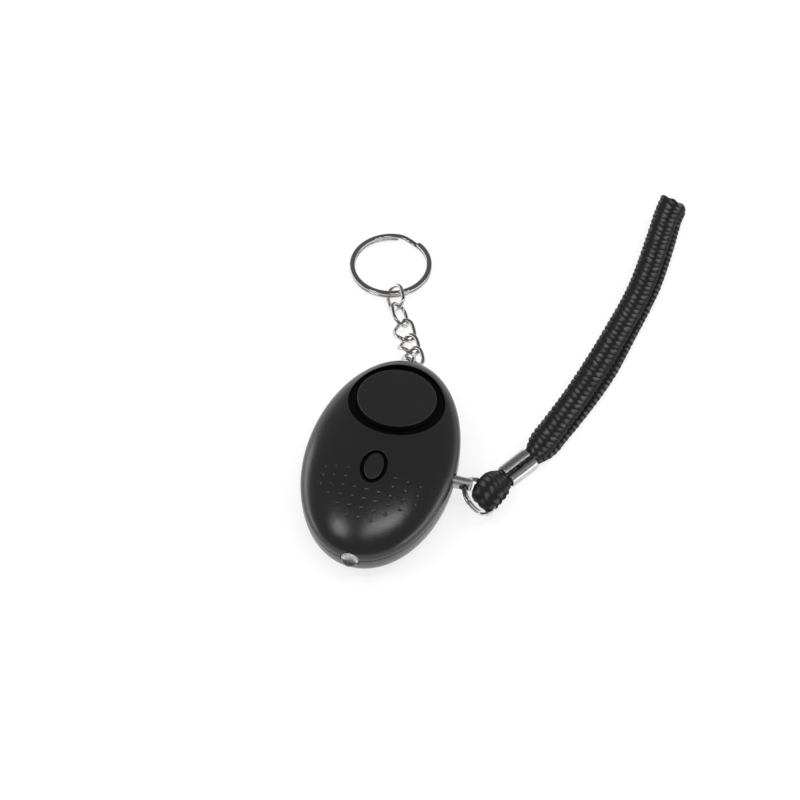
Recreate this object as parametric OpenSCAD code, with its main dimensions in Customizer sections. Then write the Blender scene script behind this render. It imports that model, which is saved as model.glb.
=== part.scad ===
// Personal safety alarm with a pull pin, a wrist strap and a key chain.
// Millimetres. The flat back lies on z = 0 with its centre at the origin,
// +Y runs along the case to the chain, +X points to the pull pin.

/* [Case] */
// Width of the case, across the pin
case_w = 42; // [40:0.5:44]
// Length of the case, from the torch to the chain
case_l = 65.5; // [63:0.5:68]
// Height of the parting line above the back
part_z = 10.6; // [10.2:0.1:11]
// Rise of the front shell above the parting line
front_rise = 9.2; // [9:0.1:9.6]
// Share of that rise that is a soft crown
front_crown = 4.5; // [4.2:0.1:4.8]
// Roundness of the front shell's edge
front_power = 3.75; // [3.4:0.05:4]
// Roundness of the rear shell's edge
rear_power = 2.1; // [1.9:0.1:2.4]
// Share of the outline that is flat on the back
back_flat = 0.53; // [0.45:0.01:0.6]
// How much narrower the chain end is
egg = 0.028; // [0:0.002:0.04]
// Wall of the front shell
front_wall = 1.6; // [1.4:0.1:1.8]
// Floor of the rear shell
rear_floor = 1.6; // [1.4:0.1:1.8]
// Height of the lip that centres the two shells
lip_h = 0.8; // [0.5:0.1:0.8]
// Thickness of that lip
lip_t = 0.8; // [0.6:0.1:0.9]
// Clearance round the lip
lip_gap = 0.2; // [0.2:0.05:0.3]

/* [Siren] */
// Diameter of the round sound cap
cap_d = 22; // [20:0.5:23]
// Diameter of the well round the cap
well_d = 27; // [26:0.5:27.5]
// Depth of the well below the cap's face
well_depth = 2.6; // [2.4:0.1:2.8]
// Floor of the well
well_floor = 1.6; // [1.2:0.1:1.8]
// Tilt of the cap towards the chain
cap_tilt = 11; // [9:0.5:12]
// Place of the cap, from the chain end of the case
cap_y = 16.75; // [16:0.25:17.75]
// Height of the cap's face
cap_z = 18.05; // [17.8:0.05:18.3]
// Diameter of the sound ports
port_d = 1.4; // [1:0.1:2]
// Number of sound ports
port_n = 10; // [6:1:12]
// Diameter of the sounder plate
plate_d = 20; // [18:0.5:20.5]
// Thickness of the sounder plate
plate_t = 0.3; // [0.2:0.05:0.4]

/* [Torch button] */
// Width of the button
button_w = 5.2; // [4.8:0.1:5.4]
// Length of the button
button_l = 8.4; // [8:0.1:8.8]
// Place of the button along the case
button_y = -7.8; // [-8.2:0.1:-7.4]
// Height of the button's face
button_z = 19.5; // [19.3:0.1:19.6]
// Clearance round the button
button_gap = 0.2; // [0.15:0.05:0.3]
// Width of the moat round the button
moat = 1.1; // [0.8:0.1:1.3]
// Height of the moat's floor
moat_z = 18.5; // [18.3:0.1:18.6]
// Travel of the button
button_travel = 0.5; // [0.3:0.1:0.5]

/* [Torch] */
// Diameter of the lamp
lamp_d = 5; // [4.8:0.1:5]
// Clearance of the lamp in the shells
lamp_gap = 0.2; // [0.1:0.05:0.3]
// How far the lamp stands out of the case
lamp_proud = 2.3; // [1.5:0.1:2.6]

/* [Pull pin] */
// Diameter of the pin
pin_d = 3.6; // [3.4:0.1:3.7]
// Clearance of the pin in its socket
pin_gap = 0.2; // [0.15:0.05:0.25]
// Clearance of the pin where it leaves the shells
pin_shell_gap = 0.4; // [0.3:0.05:0.5]
// Place of the pin along the case
pin_y = -1.9; // [-2.2:0.1:-1.6]
// How far the pin reaches into the case
pin_in = 10.6; // [10:0.1:10.8]
// How far the pin stands out of the case
pin_out = 4.9; // [4.7:0.1:5.2]
// Place of the cross hole outside the case
hole_x = 3; // [2.8:0.1:3.1]
// Diameter of the cross hole
hole_d = 2.3; // [2.2:0.1:2.4]
// Turn of the pin about its own axis
pin_turn = 18; // [14:1:20]

/* [Rings] */
// Outside diameter of the ring on the pin
pin_ring_d = 11.6; // [11.4:0.1:12]
// Radial thickness of that ring
pin_ring_t = 0.8; // [0.7:0.05:0.85]
// Height of its two turns
pin_ring_h = 1.5; // [1.3:0.1:1.6]
// Slope of that ring
pin_ring_dip = 38; // [35:1:39]
// Outside diameter of the key ring
key_ring_d = 25; // [24:0.5:26]
// Radial thickness of the key ring
key_ring_t = 1.4; // [1.2:0.1:1.5]
// Height of its two turns
key_ring_h = 2; // [1.8:0.1:2]
// Gap between the turns of a ring
turn_gap = 0.12; // [0.08:0.02:0.2]
// Half the angle over which a ring steps up to its second turn
step_half = 14; // [10:1:18]

/* [Chain] */
// Wire of the chain
wire_d = 1.2; // [1.1:0.05:1.25]
// Inner length of a link
link_in = 6.85; // [6.6:0.05:7]
// Inner width of a link
link_w = 4; // [3.9:0.05:4.2]
// Play between two links
link_gap = 0.15; // [0.1:0.05:0.2]
// Heading of the chain from the case, towards -X
chain_head = 26; // [20:1:28]
// Reach of the wire eye beyond the case
eye_y = 2.15; // [2.05:0.1:2.45]
// Half the distance between the eye's legs
eye_r = 1.8; // [1.7:0.05:2]

/* [Strap] */
// Width of the braided strap
strap_w = 7.5; // [7:0.1:8]
// Thickness of the braided strap
strap_t = 2.1; // [1.8:0.1:2.2]
// Length of the crimp
crimp_l = 9.4; // [9:0.1:10]
// Sheet of the crimp
crimp_t = 0.5; // [0.4:0.05:0.6]
// Width of the crimp
crimp_w = 7.6; // [7.5:0.1:8]
// Open gap on the crimp's top
crimp_slot = 1.9; // [1.5:0.1:2.2]

/* [Power] */
// Diameter of a button cell
cell_d = 11.6; // [11.6:0.1:11.6]
// Height of a button cell
cell_h = 5.4; // [5.4:0.1:5.4]
// Place of the cells along the case
cell_y = -15; // [-15.2:0.1:-14.8]
// Height of the cells' axis
cell_z = 8.8; // [8.8:0.1:9]
// Thickness of the circuit board
board_t = 1; // [0.8:0.1:1]

/* [Hidden] */

seg = 64;
front_rows = 11;
rear_rows = 9;
rear_wall = front_wall + lip_gap + lip_t;
screw_spots = [[-12.9, -12.5], [12.9, -12.5], [-13.8, 8.5], [13.8, 8.5]];
screw_d = 2;
screw_head_d = 3.6;
screw_play = 0.1;
screw_top = part_z + 3.6;
screw_head_z = 2.6;
screw_post_z = 2.9;
board_z = cell_z + 3.5;
switch_h = 1.9;
flange_z = 16;
flange_t = 0.8;
flange_rim = 0.9;
pad_z = 17;
post_z = part_z + lip_h + 0.1;
cap_at_y = case_l / 2 - cap_y;
boss_wall = 1.6;
lug_d = 6;
lug_play = 0.1;
chamber_h = 3.2;
chamber_wall = 2;
chamber_lip = 1;
plate_drop = 2.6;
ceramic_t = 0.25;
lamp_barrel = 6;
lamp_rim = 0.4;
lamp_rim_t = 1;
leg_d = 0.6;
leg_l = 3;
leg_half = 1.27;
pin_x = [case_w / 2 - pin_in, case_w / 2 + pin_out];
pin_hole_x = case_w / 2 + hole_x;
socket_l = 8;
socket_in = 12.2;
socket_w = 7.2;
socket_h = 5.8;
socket_x = [case_w / 2 - socket_in, case_w / 2 - socket_in + socket_l];
socket_z = part_z - 3;
board_x = [-13, socket_x[0] - 1];
board_y = [-10.2, cap_at_y - 15];
post_inset = 1.6;
board_posts = [[-11.5, board_y[1] - post_inset], [board_x[1] - 3.3, board_y[1] - post_inset]];
holder_end = 1.5;
holder_w = 8;
holder_h = 5.2;
holder_play = 0.2;
contact_t = 0.4;
contact_w = 4.8;
contact_h = 6.6;
stack = 1.5 * cell_h;
eye_end = case_l / 2 + eye_y;
eye_foot_y = case_l / 2 - rear_wall - 1;
link_r = (link_w + wire_d) / 2;
link_half = (link_in + wire_d) / 2;
link_pitch = link_in - link_gap;
link_dips = [29, 21, 10, 2, 0];
key_ring_r = (key_ring_d - key_ring_t) / 2;
pin_ring_r = (pin_ring_d - pin_ring_t) / 2;
key_ring_lift = 6;
crimp_at = [36.65, 11.55];
crimp_head = 55.8;
crimp_h = 2 * strap_t + 2 * crimp_t + 0.25;
loop_roll = 16;
loop_t = 1.8;

// Helpers
function unit(v) = v / norm(v);
function flat(a) = [for (r = a, p = r) p];
function step_over(x) = x < 0 ? 0 : x > 1 ? 1 : x * x * (3 - 2 * x);

// Closed skin through stacked rings between two end points
function skin_faces(n, m) = concat(
    [for (i = [0:m - 1]) [0, 1 + (i + 1) % m, 1 + i]],
    [for (k = [0:n - 2], i = [0:m - 1])
        [1 + k * m + i, 1 + k * m + (i + 1) % m, 1 + (k + 1) * m + (i + 1) % m]],
    [for (k = [0:n - 2], i = [0:m - 1])
        [1 + k * m + i, 1 + (k + 1) * m + (i + 1) % m, 1 + (k + 1) * m + i]],
    [for (i = [0:m - 1]) [1 + (n - 1) * m + i, 1 + (n - 1) * m + (i + 1) % m, 1 + n * m]]);

module skin(top, rings, bottom) {
    polyhedron(points = concat([top], flat(rings), [bottom]),
        faces = skin_faces(len(rings), len(rings[0])), convexity = 8);
}

// Open sweep of sections with flat ends, and a closed one
function tube_faces(n, m) = concat(
    [[for (i = [0:m - 1]) i]],
    [for (k = [0:n - 2], i = [0:m - 1]) [k * m + i, (k + 1) * m + (i + 1) % m, k * m + (i + 1) % m]],
    [for (k = [0:n - 2], i = [0:m - 1]) [k * m + i, (k + 1) * m + i, (k + 1) * m + (i + 1) % m]],
    [[for (i = [m - 1:-1:0]) (n - 1) * m + i]]);

function hoop_faces(n, m) = concat(
    [for (k = [0:n - 1], i = [0:m - 1]) [k * m + i, (k + 1) % n * m + (i + 1) % m, k * m + (i + 1) % m]],
    [for (k = [0:n - 1], i = [0:m - 1]) [k * m + i, (k + 1) % n * m + i, (k + 1) % n * m + (i + 1) % m]]);

// Case form: the outline at a share s of its size, drawn in by an inset
function case_ring(s, z, inset) = [for (i = [0:seg - 1]) let (t = 360 * i / seg)
    [(case_w / 2 - inset) * s * cos(t) * (1 - egg * sin(t)), (case_l / 2 - inset) * s * sin(t), z]];
function front_share(a) = pow(cos(a), 2 / front_power);
function front_z(a, rise) = part_z + (rise - front_crown) * pow(sin(a), 2 / front_power)
    + front_crown * (1 - pow(front_share(a), 2));
function front_row(a, inset) = case_ring(front_share(a), front_z(a, front_rise - inset), inset);
function rear_share(q) = back_flat + (1 - back_flat) * pow(1 - pow(q, rear_power), 1 / rear_power);
function rear_row(q, floor, inset) = case_ring(rear_share(q), part_z - (part_z - floor) * q, inset);
function front_angles() = [for (i = [front_rows:-1:1]) let (u = i / (front_rows + 1))
    90 * u * (0.45 + 0.55 * u)];
function rear_steps() = [for (i = [0:rear_rows - 1]) let (u = 1 - i / rear_rows) pow(sin(90 * u), 0.8)];

module front_solid() {
    skin([0, 0, part_z + front_rise],
        concat([for (a = front_angles()) front_row(a, 0)], [case_ring(1, part_z, 0)]),
        [0, 0, part_z]);
}

module front_skin() {
    a = front_angles();
    skin([0, 0, part_z + front_rise],
        concat([for (v = a) front_row(v, 0)], [case_ring(1, part_z, 0), case_ring(1, part_z, front_wall)],
            [for (i = [len(a) - 1:-1:0]) front_row(a[i], front_wall)]),
        [0, 0, part_z + front_rise - front_wall]);
}

module rear_skin() {
    q = rear_steps();
    lip_in = rear_wall;
    lip_out = front_wall + lip_gap;
    skin([0, 0, rear_floor],
        concat([for (v = q) rear_row(v, rear_floor, rear_wall)],
            [case_ring(1, part_z + lip_h, lip_in), case_ring(1, part_z + lip_h, lip_out),
                case_ring(1, part_z, lip_out), case_ring(1, part_z, 0)],
            [for (i = [len(q) - 1:-1:0]) rear_row(q[i], 0, 0)]),
        [0, 0, 0]);
}

module oval(w, l, h) {
    linear_extrude(h) polygon([for (i = [0:47]) [w / 2 * cos(7.5 * i), l / 2 * sin(7.5 * i)]]);
}

module at_cap(depth) {
    translate([0, cap_at_y, cap_z]) rotate([-cap_tilt, 0, 0]) translate([0, 0, -depth]) children();
}

module along_x(x, y, z) {
    translate([x, y, z]) rotate([0, 90, 0]) children();
}

module along_y(y, z) {
    translate([0, y, z]) rotate([-90, 0, 0]) children();
}

// Openings that the two shells share on the parting line
module shared_openings() {
    along_y(-case_l / 2 - 3, part_z) cylinder(d = lamp_d + 2 * lamp_gap, h = 10, $fn = 48);
    along_x(socket_x[1], pin_y, part_z) cylinder(d = pin_d + 2 * pin_shell_gap, h = 8, $fn = 48);
    for (s = [-1, 1]) {
        along_y(eye_foot_y - 2, part_z + s * eye_r) cylinder(d = wire_d + 0.2, h = 8, $fn = 24);
        along_y(eye_foot_y - 2, part_z + s * eye_r) cylinder(d = wire_d + 1.1, h = 2.9, $fn = 24);
    }
}

module front_shell() {
    color([0.03, 0.03, 0.03]) difference() {
        union() {
            front_skin();
            intersection() {
                front_solid();
                union() {
                    intersection() {
                        at_cap(well_depth + well_floor)
                            cylinder(d = well_d + 2 * boss_wall, h = 12, $fn = 72);
                        translate([-case_w, cap_at_y - well_d, post_z])
                            cube([2 * case_w, case_l, 2 * front_rise]);
                    }
                    translate([0, button_y, pad_z]) oval(button_w + 5, button_l + 5, 8);
                    for (p = screw_spots) translate([p[0], p[1], post_z])
                        cylinder(d = 4.4, h = 9, $fn = 32);
                }
            }
        }
        at_cap(well_depth) cylinder(d = well_d, h = 12, $fn = 72);
        at_cap(well_depth + well_floor + 1) cylinder(d = lug_d, h = 8, $fn = 32);
        for (i = [0:port_n - 1]) at_cap(well_depth + well_floor + 1)
            rotate(360 * (i + 0.5) / port_n) translate([(cap_d + well_d) / 4, 0, 0])
                cylinder(d = port_d, h = 4, $fn = 20);
        translate([0, button_y, moat_z]) oval(button_w + 2 * moat, button_l + 2 * moat, 4);
        translate([0, button_y, pad_z - 2]) oval(button_w + 2 * button_gap, button_l + 2 * button_gap, 6);
        for (p = screw_spots) translate([p[0], p[1], part_z - 1])
            cylinder(d = screw_d + screw_play, h = screw_top - part_z + 1.5, $fn = 24);
        shared_openings();
    }
}

module rear_shell() {
    color([0.04, 0.04, 0.04]) difference() {
        union() {
            rear_skin();
            for (p = screw_spots) translate([p[0], p[1], screw_post_z])
                cylinder(d = 6, h = part_z + lip_h - screw_post_z, $fn = 32);
            for (p = board_posts) translate([p[0], p[1], rear_floor - 0.4])
                cylinder(d = 3, h = board_z - rear_floor + 0.4, $fn = 32);
            translate([socket_x[0] + 2.4, pin_y, rear_floor - 0.4])
                cylinder(d = 4, h = socket_z - rear_floor + 0.4, $fn = 32);
        }
        for (p = screw_spots) translate([p[0], p[1], -1]) {
            cylinder(d = screw_head_d + 0.6, h = screw_head_z + 2.4, $fn = 32);
            cylinder(d = screw_d + 0.3, h = part_z + 4, $fn = 24);
        }
        shared_openings();
    }
}

// Siren
module siren_cap() {
    color([0.035, 0.035, 0.035]) at_cap(well_depth) {
        cylinder(d = cap_d, h = well_depth - 0.3, $fn = 96);
        translate([0, 0, well_depth - 0.3]) cylinder(d1 = cap_d, d2 = cap_d - 0.6, h = 0.3, $fn = 96);
        translate([0, 0, -well_floor - 0.4])
            cylinder(d = lug_d - 2 * lug_play, h = well_floor + 0.5, $fn = 32);
    }
}

module siren_chamber() {
    color([0.85, 0.84, 0.8]) at_cap(well_depth + well_floor + chamber_h) difference() {
        cylinder(d = plate_d + 2 * chamber_wall, h = chamber_h, $fn = 64);
        translate([0, 0, -1]) cylinder(d = plate_d - 2 * chamber_lip, h = chamber_h + 2, $fn = 64);
        translate([0, 0, -1]) cylinder(d = plate_d + 0.4, h = 1 + chamber_h - plate_drop, $fn = 64);
    }
}

module sounder_plate() {
    color([0.8, 0.6, 0.3]) at_cap(well_depth + well_floor + plate_drop + plate_t)
        cylinder(d = plate_d, h = plate_t, $fn = 64);
}

module sounder_ceramic() {
    color([0.85, 0.85, 0.82]) at_cap(well_depth + well_floor + plate_drop + plate_t + ceramic_t)
        cylinder(d = 0.7 * plate_d, h = ceramic_t, $fn = 48);
}

// Torch and its button
module torch_button() {
    color([0.035, 0.035, 0.035]) translate([0, button_y, 0]) {
        translate([0, 0, flange_z]) oval(button_w + 2 * flange_rim, button_l + 2 * flange_rim, flange_t);
        translate([0, 0, flange_z + flange_t])
            oval(button_w, button_l, button_z - 0.3 - flange_z - flange_t);
        translate([0, 0, button_z - 0.3]) oval(button_w - 0.3, button_l - 0.3, 0.15);
        translate([0, 0, button_z - 0.15]) oval(button_w - 0.8, button_l - 0.8, 0.15);
    }
}

module switch_plunger() {
    color([0.1, 0.1, 0.1]) translate([0, button_y, board_z + board_t + 0.4 + button_travel])
        cylinder(d = 3, h = flange_z - board_z - board_t - 0.4 - button_travel, $fn = 32);
}

module tact_switch() {
    color([0.5, 0.5, 0.5]) translate([0, button_y, board_z + board_t]) difference() {
        translate([-3, -3, 0]) cube([6, 6, switch_h]);
        translate([0, 0, 0.3]) cylinder(d = 3.4, h = 5, $fn = 32);
    }
}

module circuit_board() {
    color([0.05, 0.3, 0.12]) translate([board_x[0], board_y[0], board_z])
        cube([board_x[1] - board_x[0], board_y[1] - board_y[0], board_t]);
}

module torch_lamp() {
    color([0.9, 0.92, 0.95, 0.5]) {
        y0 = -case_l / 2 - lamp_proud + lamp_d / 2;
        along_y(y0, part_z) {
            sphere(d = lamp_d, $fn = 48);
            cylinder(d = lamp_d, h = lamp_barrel, $fn = 48);
            translate([0, 0, lamp_barrel]) cylinder(d = lamp_d + 2 * lamp_rim, h = lamp_rim_t, $fn = 48);
            for (s = [-1, 1]) translate([leg_half * s, 0, lamp_barrel + lamp_rim_t])
                cylinder(d = leg_d, h = leg_l, $fn = 16);
        }
    }
}

// Pull pin and the switch that it holds open
module pin_socket() {
    color([0.12, 0.12, 0.12]) difference() {
        translate([socket_x[0], pin_y - socket_w / 2, socket_z]) cube([socket_l, socket_w, socket_h]);
        along_x(pin_x[0] - 0.4, pin_y, part_z) cylinder(d = pin_d + 2 * pin_gap, h = 20, $fn = 48);
        for (s = [-1, 1]) translate([socket_x[0] - 1, pin_y - 1.3, part_z + s * 2.25 - 0.35])
            cube([6, 2.6, 0.7]);
    }
}

module socket_contacts() {
    color([0.85, 0.65, 0.35]) for (s = [-1, 1])
        translate([socket_x[0] - 0.6, pin_y - 1, part_z + s * 2.35 - 0.12]) cube([5.2, 2, 0.24]);
}

module pull_pin() {
    color([0.75, 0.75, 0.76]) difference() {
        union() {
            along_x(pin_x[0], pin_y, part_z) cylinder(d1 = pin_d - 1, d2 = pin_d, h = 0.6, $fn = 48);
            along_x(pin_x[0] + 0.6, pin_y, part_z)
                cylinder(d = pin_d, h = pin_x[1] - pin_x[0] - 1, $fn = 48);
            along_x(pin_x[1] - 0.4, pin_y, part_z)
                cylinder(d1 = pin_d, d2 = pin_d - 0.8, h = 0.4, $fn = 48);
        }
        translate([pin_hole_x, pin_y, part_z]) rotate([-90 - pin_turn, 0, 0])
            cylinder(d = hole_d, h = 12, center = true, $fn = 32);
    }
}

// Split ring in its own frame: two turns with one step, centred on the origin
function ring_z(a, h) = (step_over((a - 360 + step_half) / (2 * step_half)) - 0.5) * h;
function bar_section(t, h, cut) = [[t / 2, h / 2 - cut], [t / 2 - cut, h / 2], [cut - t / 2, h / 2],
    [-t / 2, h / 2 - cut],
    [-t / 2, cut - h / 2], [cut - t / 2, -h / 2], [t / 2 - cut, -h / 2], [t / 2, cut - h / 2]];

module split_ring(r, t, h) {
    turn_h = (h - turn_gap) / 2;
    n = 73;
    rings = [for (k = [0:n - 1]) let (a = step_half + 2 + (720 - 2 * step_half - 4) * k / (n - 1))
        [for (p = bar_section(t, turn_h, 0.28 * turn_h)) [(r - p[0]) * cos(a), (r - p[0]) * sin(a),
            p[1] + ring_z(a, turn_h + turn_gap)]]];
    polyhedron(points = flat(rings), faces = tube_faces(n, 8), convexity = 8);
}

module pin_ring() {
    color([0.8, 0.8, 0.81]) translate([pin_hole_x, pin_y, part_z])
        rotate([-pin_turn, 0, 0]) rotate([0, pin_ring_dip, 0])
        translate([pin_ring_r, 0, 0]) rotate(-55) split_ring(pin_ring_r, pin_ring_t, pin_ring_h);
}

// Power
module battery_holder() {
    color([0.1, 0.1, 0.11]) difference() {
        translate([-stack - holder_end, cell_y - holder_w / 2, cell_z - holder_play - holder_h])
            cube([2 * (stack + holder_end), holder_w, holder_h]);
        along_x(-stack - holder_play, cell_y, cell_z)
            cylinder(d = cell_d + 2 * holder_play, h = 2 * (stack + holder_play), $fn = 64);
        for (s = [-1, 1])
            translate([s * (stack + 0.55) - 0.55, cell_y - contact_w / 2 - holder_play, cell_z - 4.2])
            cube([1.1, contact_w + 2 * holder_play, 8]);
    }
    color([0.1, 0.1, 0.11]) for (s = [-1, 1]) translate([s * 5 - 1.5, cell_y + 2.9, rear_floor + 0.05])
        cube([3, 1.1, 3.5 - rear_floor - 0.05]);
}

module cell(i) {
    color([0.8, 0.8, 0.8]) along_x(-stack + i * cell_h, cell_y, cell_z) {
        cylinder(d = cell_d, h = cell_h - 0.5, $fn = 64);
        translate([0, 0, cell_h - 0.5]) cylinder(d = cell_d - 2.4, h = 0.45, $fn = 64);
    }
}

module positive_contact() {
    color([0.85, 0.85, 0.85]) translate([stack + 2 * holder_play, cell_y - contact_w / 2, cell_z - 4])
        cube([contact_t, contact_w, contact_h]);
}

module negative_contact() {
    color([0.85, 0.85, 0.85]) {
        translate([-stack - 2 * holder_play - contact_t, cell_y - contact_w / 2, cell_z - 4])
            cube([contact_t, contact_w, contact_h]);
        along_x(-stack - 2 * holder_play, cell_y, cell_z) cylinder(d1 = 3, d2 = 1.6, h = 0.35, $fn = 24);
    }
}

module case_screw(i) {
    color([0.6, 0.6, 0.6]) translate([screw_spots[i][0], screw_spots[i][1], 0]) difference() {
        union() {
            translate([0, 0, screw_head_z]) cylinder(d = screw_head_d, h = 1.4, $fn = 32);
            translate([0, 0, screw_head_z + 1.4])
                cylinder(d = screw_d, h = screw_top - screw_head_z - 1.4, $fn = 24);
        }
        for (a = [0, 90]) rotate(a) translate([-1.3, -0.3, screw_head_z - 0.1]) cube([2.6, 0.6, 0.8]);
    }
}

// Chain: each link starts flat at its near end and is twisted upright at its far end
module chain_eye() {
    color([0.8, 0.8, 0.81]) {
        translate([0, eye_end - eye_r, part_z]) rotate([90, 0, 90]) rotate(-90)
            rotate_extrude(angle = 180, $fn = 48) translate([eye_r, 0]) circle(d = wire_d, $fn = 24);
        for (s = [-1, 1]) {
            along_y(eye_foot_y, part_z + s * eye_r)
                cylinder(d = wire_d, h = eye_end - eye_r - eye_foot_y, $fn = 24);
            along_y(eye_foot_y - 0.1, part_z + s * eye_r) cylinder(d = wire_d + 0.7, h = 0.7, $fn = 24);
        }
    }
}

function link_dir(i) = [-sin(chain_head) * cos(link_dips[i]),
    cos(chain_head) * cos(link_dips[i]), -sin(link_dips[i])];
function link_start(i) = i == 0
    ? [0, eye_end, part_z] - (wire_d + link_gap) * [-sin(chain_head), cos(chain_head), 0]
    : link_start(i - 1) + link_pitch * link_dir(i - 1);

// Middle line of a link by length: a racetrack, twisted a quarter turn from end to end
link_e = link_half - link_r;
link_arc = PI * link_r / 2;
link_loop = 4 * link_e + 4 * link_arc;
function oval_at(s) = s < link_arc ?
    [link_e + link_r * cos(90 * s / link_arc), link_r * sin(90 * s / link_arc)]
    : s < link_arc + 2 * link_e ? [link_e - (s - link_arc), link_r]
    : s < link_loop / 2 ? let (a = 90 + 90 * (s - link_arc - 2 * link_e) / link_arc)
        [link_r * cos(a) - link_e, link_r * sin(a)]
    : -oval_at(s - link_loop / 2);
function track(k, n) = let (f = k / n, p = oval_at(link_loop * (f - floor(f))),
    tw = 45 * (1 + p[0] / link_half))
    [p[0], p[1] * cos(tw), p[1] * sin(tw)];

module link(i) {
    n = 28;
    m = 8;
    rings = [for (k = [0:n - 1]) let (p = track(k, n), d = unit(track(k + 0.5, n) - track(k - 0.5, n)),
        b = unit(cross(d, unit([p[0] * 0.25, p[1], p[2]]))), o = cross(b, d))
        [for (j = [0:m - 1]) p + wire_d / 2 * (cos(360 * j / m) * o + sin(360 * j / m) * b)]];
    p = link_start(i);
    color([0.8, 0.8, 0.81]) translate(p) rotate([0, 0, 90 + chain_head]) rotate([0, link_dips[i], 0])
        translate([link_half, 0, 0])
            polyhedron(points = flat(rings), faces = hoop_faces(n, m), convexity = 8);
}

// Key ring: its band lies in the upright end of the last link, its far side on the table
key_ring_grip = link_start(4) + (2 * link_half - wire_d / 2 - key_ring_t / 2 - 0.35) * link_dir(4);

module key_ring() {
    color([0.8, 0.8, 0.81]) translate(key_ring_grip)
        rotate([0, 0, 90 + chain_head]) rotate([0, key_ring_lift, 0])
        translate([key_ring_r, 0, 0]) rotate(-40) split_ring(key_ring_r, key_ring_t, key_ring_h);
}

// Strap: a flat section carried along a smooth route.
// Each point is [x, y, z, share of the width, heading, share of the roll].
strap_route = [[36.75, 11.7, 1.6, 0.83, 56, 0], [39.3, 15.45, 1.6, 0.83, 56, 0],
    [41.7, 20.6, 1.15, 1, 66, 0], [44.4, 27.2, 1.1, 1, 70, 0], [48.1, 39.2, 1.1, 1, 73, 0],
    [51.8, 52, 1.1, 1, 75, 0], [54.9, 65.1, 1.1, 1, 77, 0], [57.9, 77.3, 1.1, 1, 78, 0],
    [59.9, 88, 1.1, 1, 82, 0], [61.2, 102.5, 1.1, 1, 86, 0], [61.8, 117.6, 1.1, 1, 88, 0],
    [61.7, 118.6, 1.45, 1, 88, 0], [61.2, 119, 2.3, 1, 88, 0], [60.7, 118.6, 3.15, 1, 88, 0],
    [60.4, 117.6, 3.5, 1, 88, 0], [59.8, 102.6, 3.5, 1, 86, 0], [58.5, 88.3, 3.5, 1, 82, 0],
    [56.5, 77.6, 3.5, 1, 78, 0], [53.6, 65.4, 3.5, 1, 77, 0], [50.5, 52.3, 3.5, 1, 75, 0],
    [46.8, 39.6, 3.5, 1, 73, 0], [43.1, 27.6, 3.5, 1, 70, 0], [41, 20.8, 3.6, 1, 66, 0],
    [39.3, 15.45, 3.8, 0.83, 56, 0], [36.75, 11.7, 3.8, 0.83, 56, 0]];
loop_route = [[36.55, 11.4, 1.6, 0.83, 236, 0], [34, 7.65, 1.6, 0.83, 236, 0],
    [32.5, 5.05, 1.75, 0.95, 240, 0.5], [30.75, 2, 1.95, 0.9, 240, 1],
    [29.2, -0.65, 2, 0.88, 240, 1], [28.4, -2.05, 2.9, 0.86, 240, 1],
    [27.95, -2.8, 4.6, 0.86, 240, 1], [28.25, -2.3, 6.4, 0.86, 240, 1],
    [29.1, -0.85, 7.5, 0.88, 240, 1], [30.25, 1.15, 7.6, 0.9, 240, 1],
    [31.5, 3.3, 6.7, 0.93, 240, 0.9], [32.75, 5.5, 4.9, 0.93, 240, 0.5],
    [34, 7.65, 3.85, 0.83, 236, 0], [36.55, 11.4, 3.8, 0.83, 236, 0]];

function curve_at(a, b, c, d, u) = 0.5 * (2 * b + u * (c - a) + u * u * (2 * a - 5 * b + 4 * c - d)
    + u * u * u * (3 * b - a - 3 * c + d));
function smooth(pts, n) = let (m = len(pts) - 1) concat(
    [for (k = [0:m - 1], i = [0:n - 1])
        curve_at(pts[max(k - 1, 0)], pts[k], pts[k + 1], pts[min(k + 2, m)], i / n)], [pts[m]]);
function braid_section(w, t) = [for (k = [0:9]) let (a = 36 * k + 18)
    [w / 2 * sign(cos(a)) * pow(abs(cos(a)), 0.5), t / 2 * sign(sin(a)) * pow(abs(sin(a)), 0.7)]];
function place(p) = [p[0], p[1], p[2]];
function side_of(p, roll) = let (r = -roll * p[5]) [-sin(p[4]) * cos(r), cos(p[4]) * cos(r), sin(r)];

module band(route, n, thick, roll) {
    pts = smooth(route, n);
    m = len(pts);
    rings = [for (k = [0:m - 1]) let (p = pts[k], s = side_of(p, roll),
        d = unit(place(pts[min(k + 1, m - 1)]) - place(pts[max(k - 1, 0)])), up = unit(cross(d, s)))
        [for (q = braid_section(strap_w * p[3], thick)) place(p) + q[0] * s + q[1] * up]];
    polyhedron(points = flat(rings), faces = tube_faces(m, 10), convexity = 8);
}

module wrist_strap() {
    color([0.03, 0.03, 0.035]) band(strap_route, 3, strap_t, 0);
}

module strap_loop() {
    color([0.03, 0.03, 0.035]) band(loop_route, 3, loop_t, loop_roll);
}

module round_bar(w, h, r) {
    translate([r - w / 2, 0]) square([w - 2 * r, h]);
    translate([-w / 2, r]) square([w, h - 2 * r]);
    for (x = [-1, 1], y = [r, h - r]) translate([x * (w / 2 - r), y]) circle(r, $fn = 32);
}

module strap_crimp() {
    color([0.75, 0.75, 0.76]) translate([crimp_at[0], crimp_at[1], 0]) rotate([90, 0, crimp_head + 90])
        translate([0, 0, -crimp_l / 2]) linear_extrude(crimp_l) difference() {
            round_bar(crimp_w, crimp_h, 1.4);
            translate([0, crimp_t]) round_bar(crimp_w - 2 * crimp_t, crimp_h - 2 * crimp_t, 0.9);
            translate([-crimp_slot / 2, crimp_h / 2]) square([crimp_slot, crimp_h]);
        }
}

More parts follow.
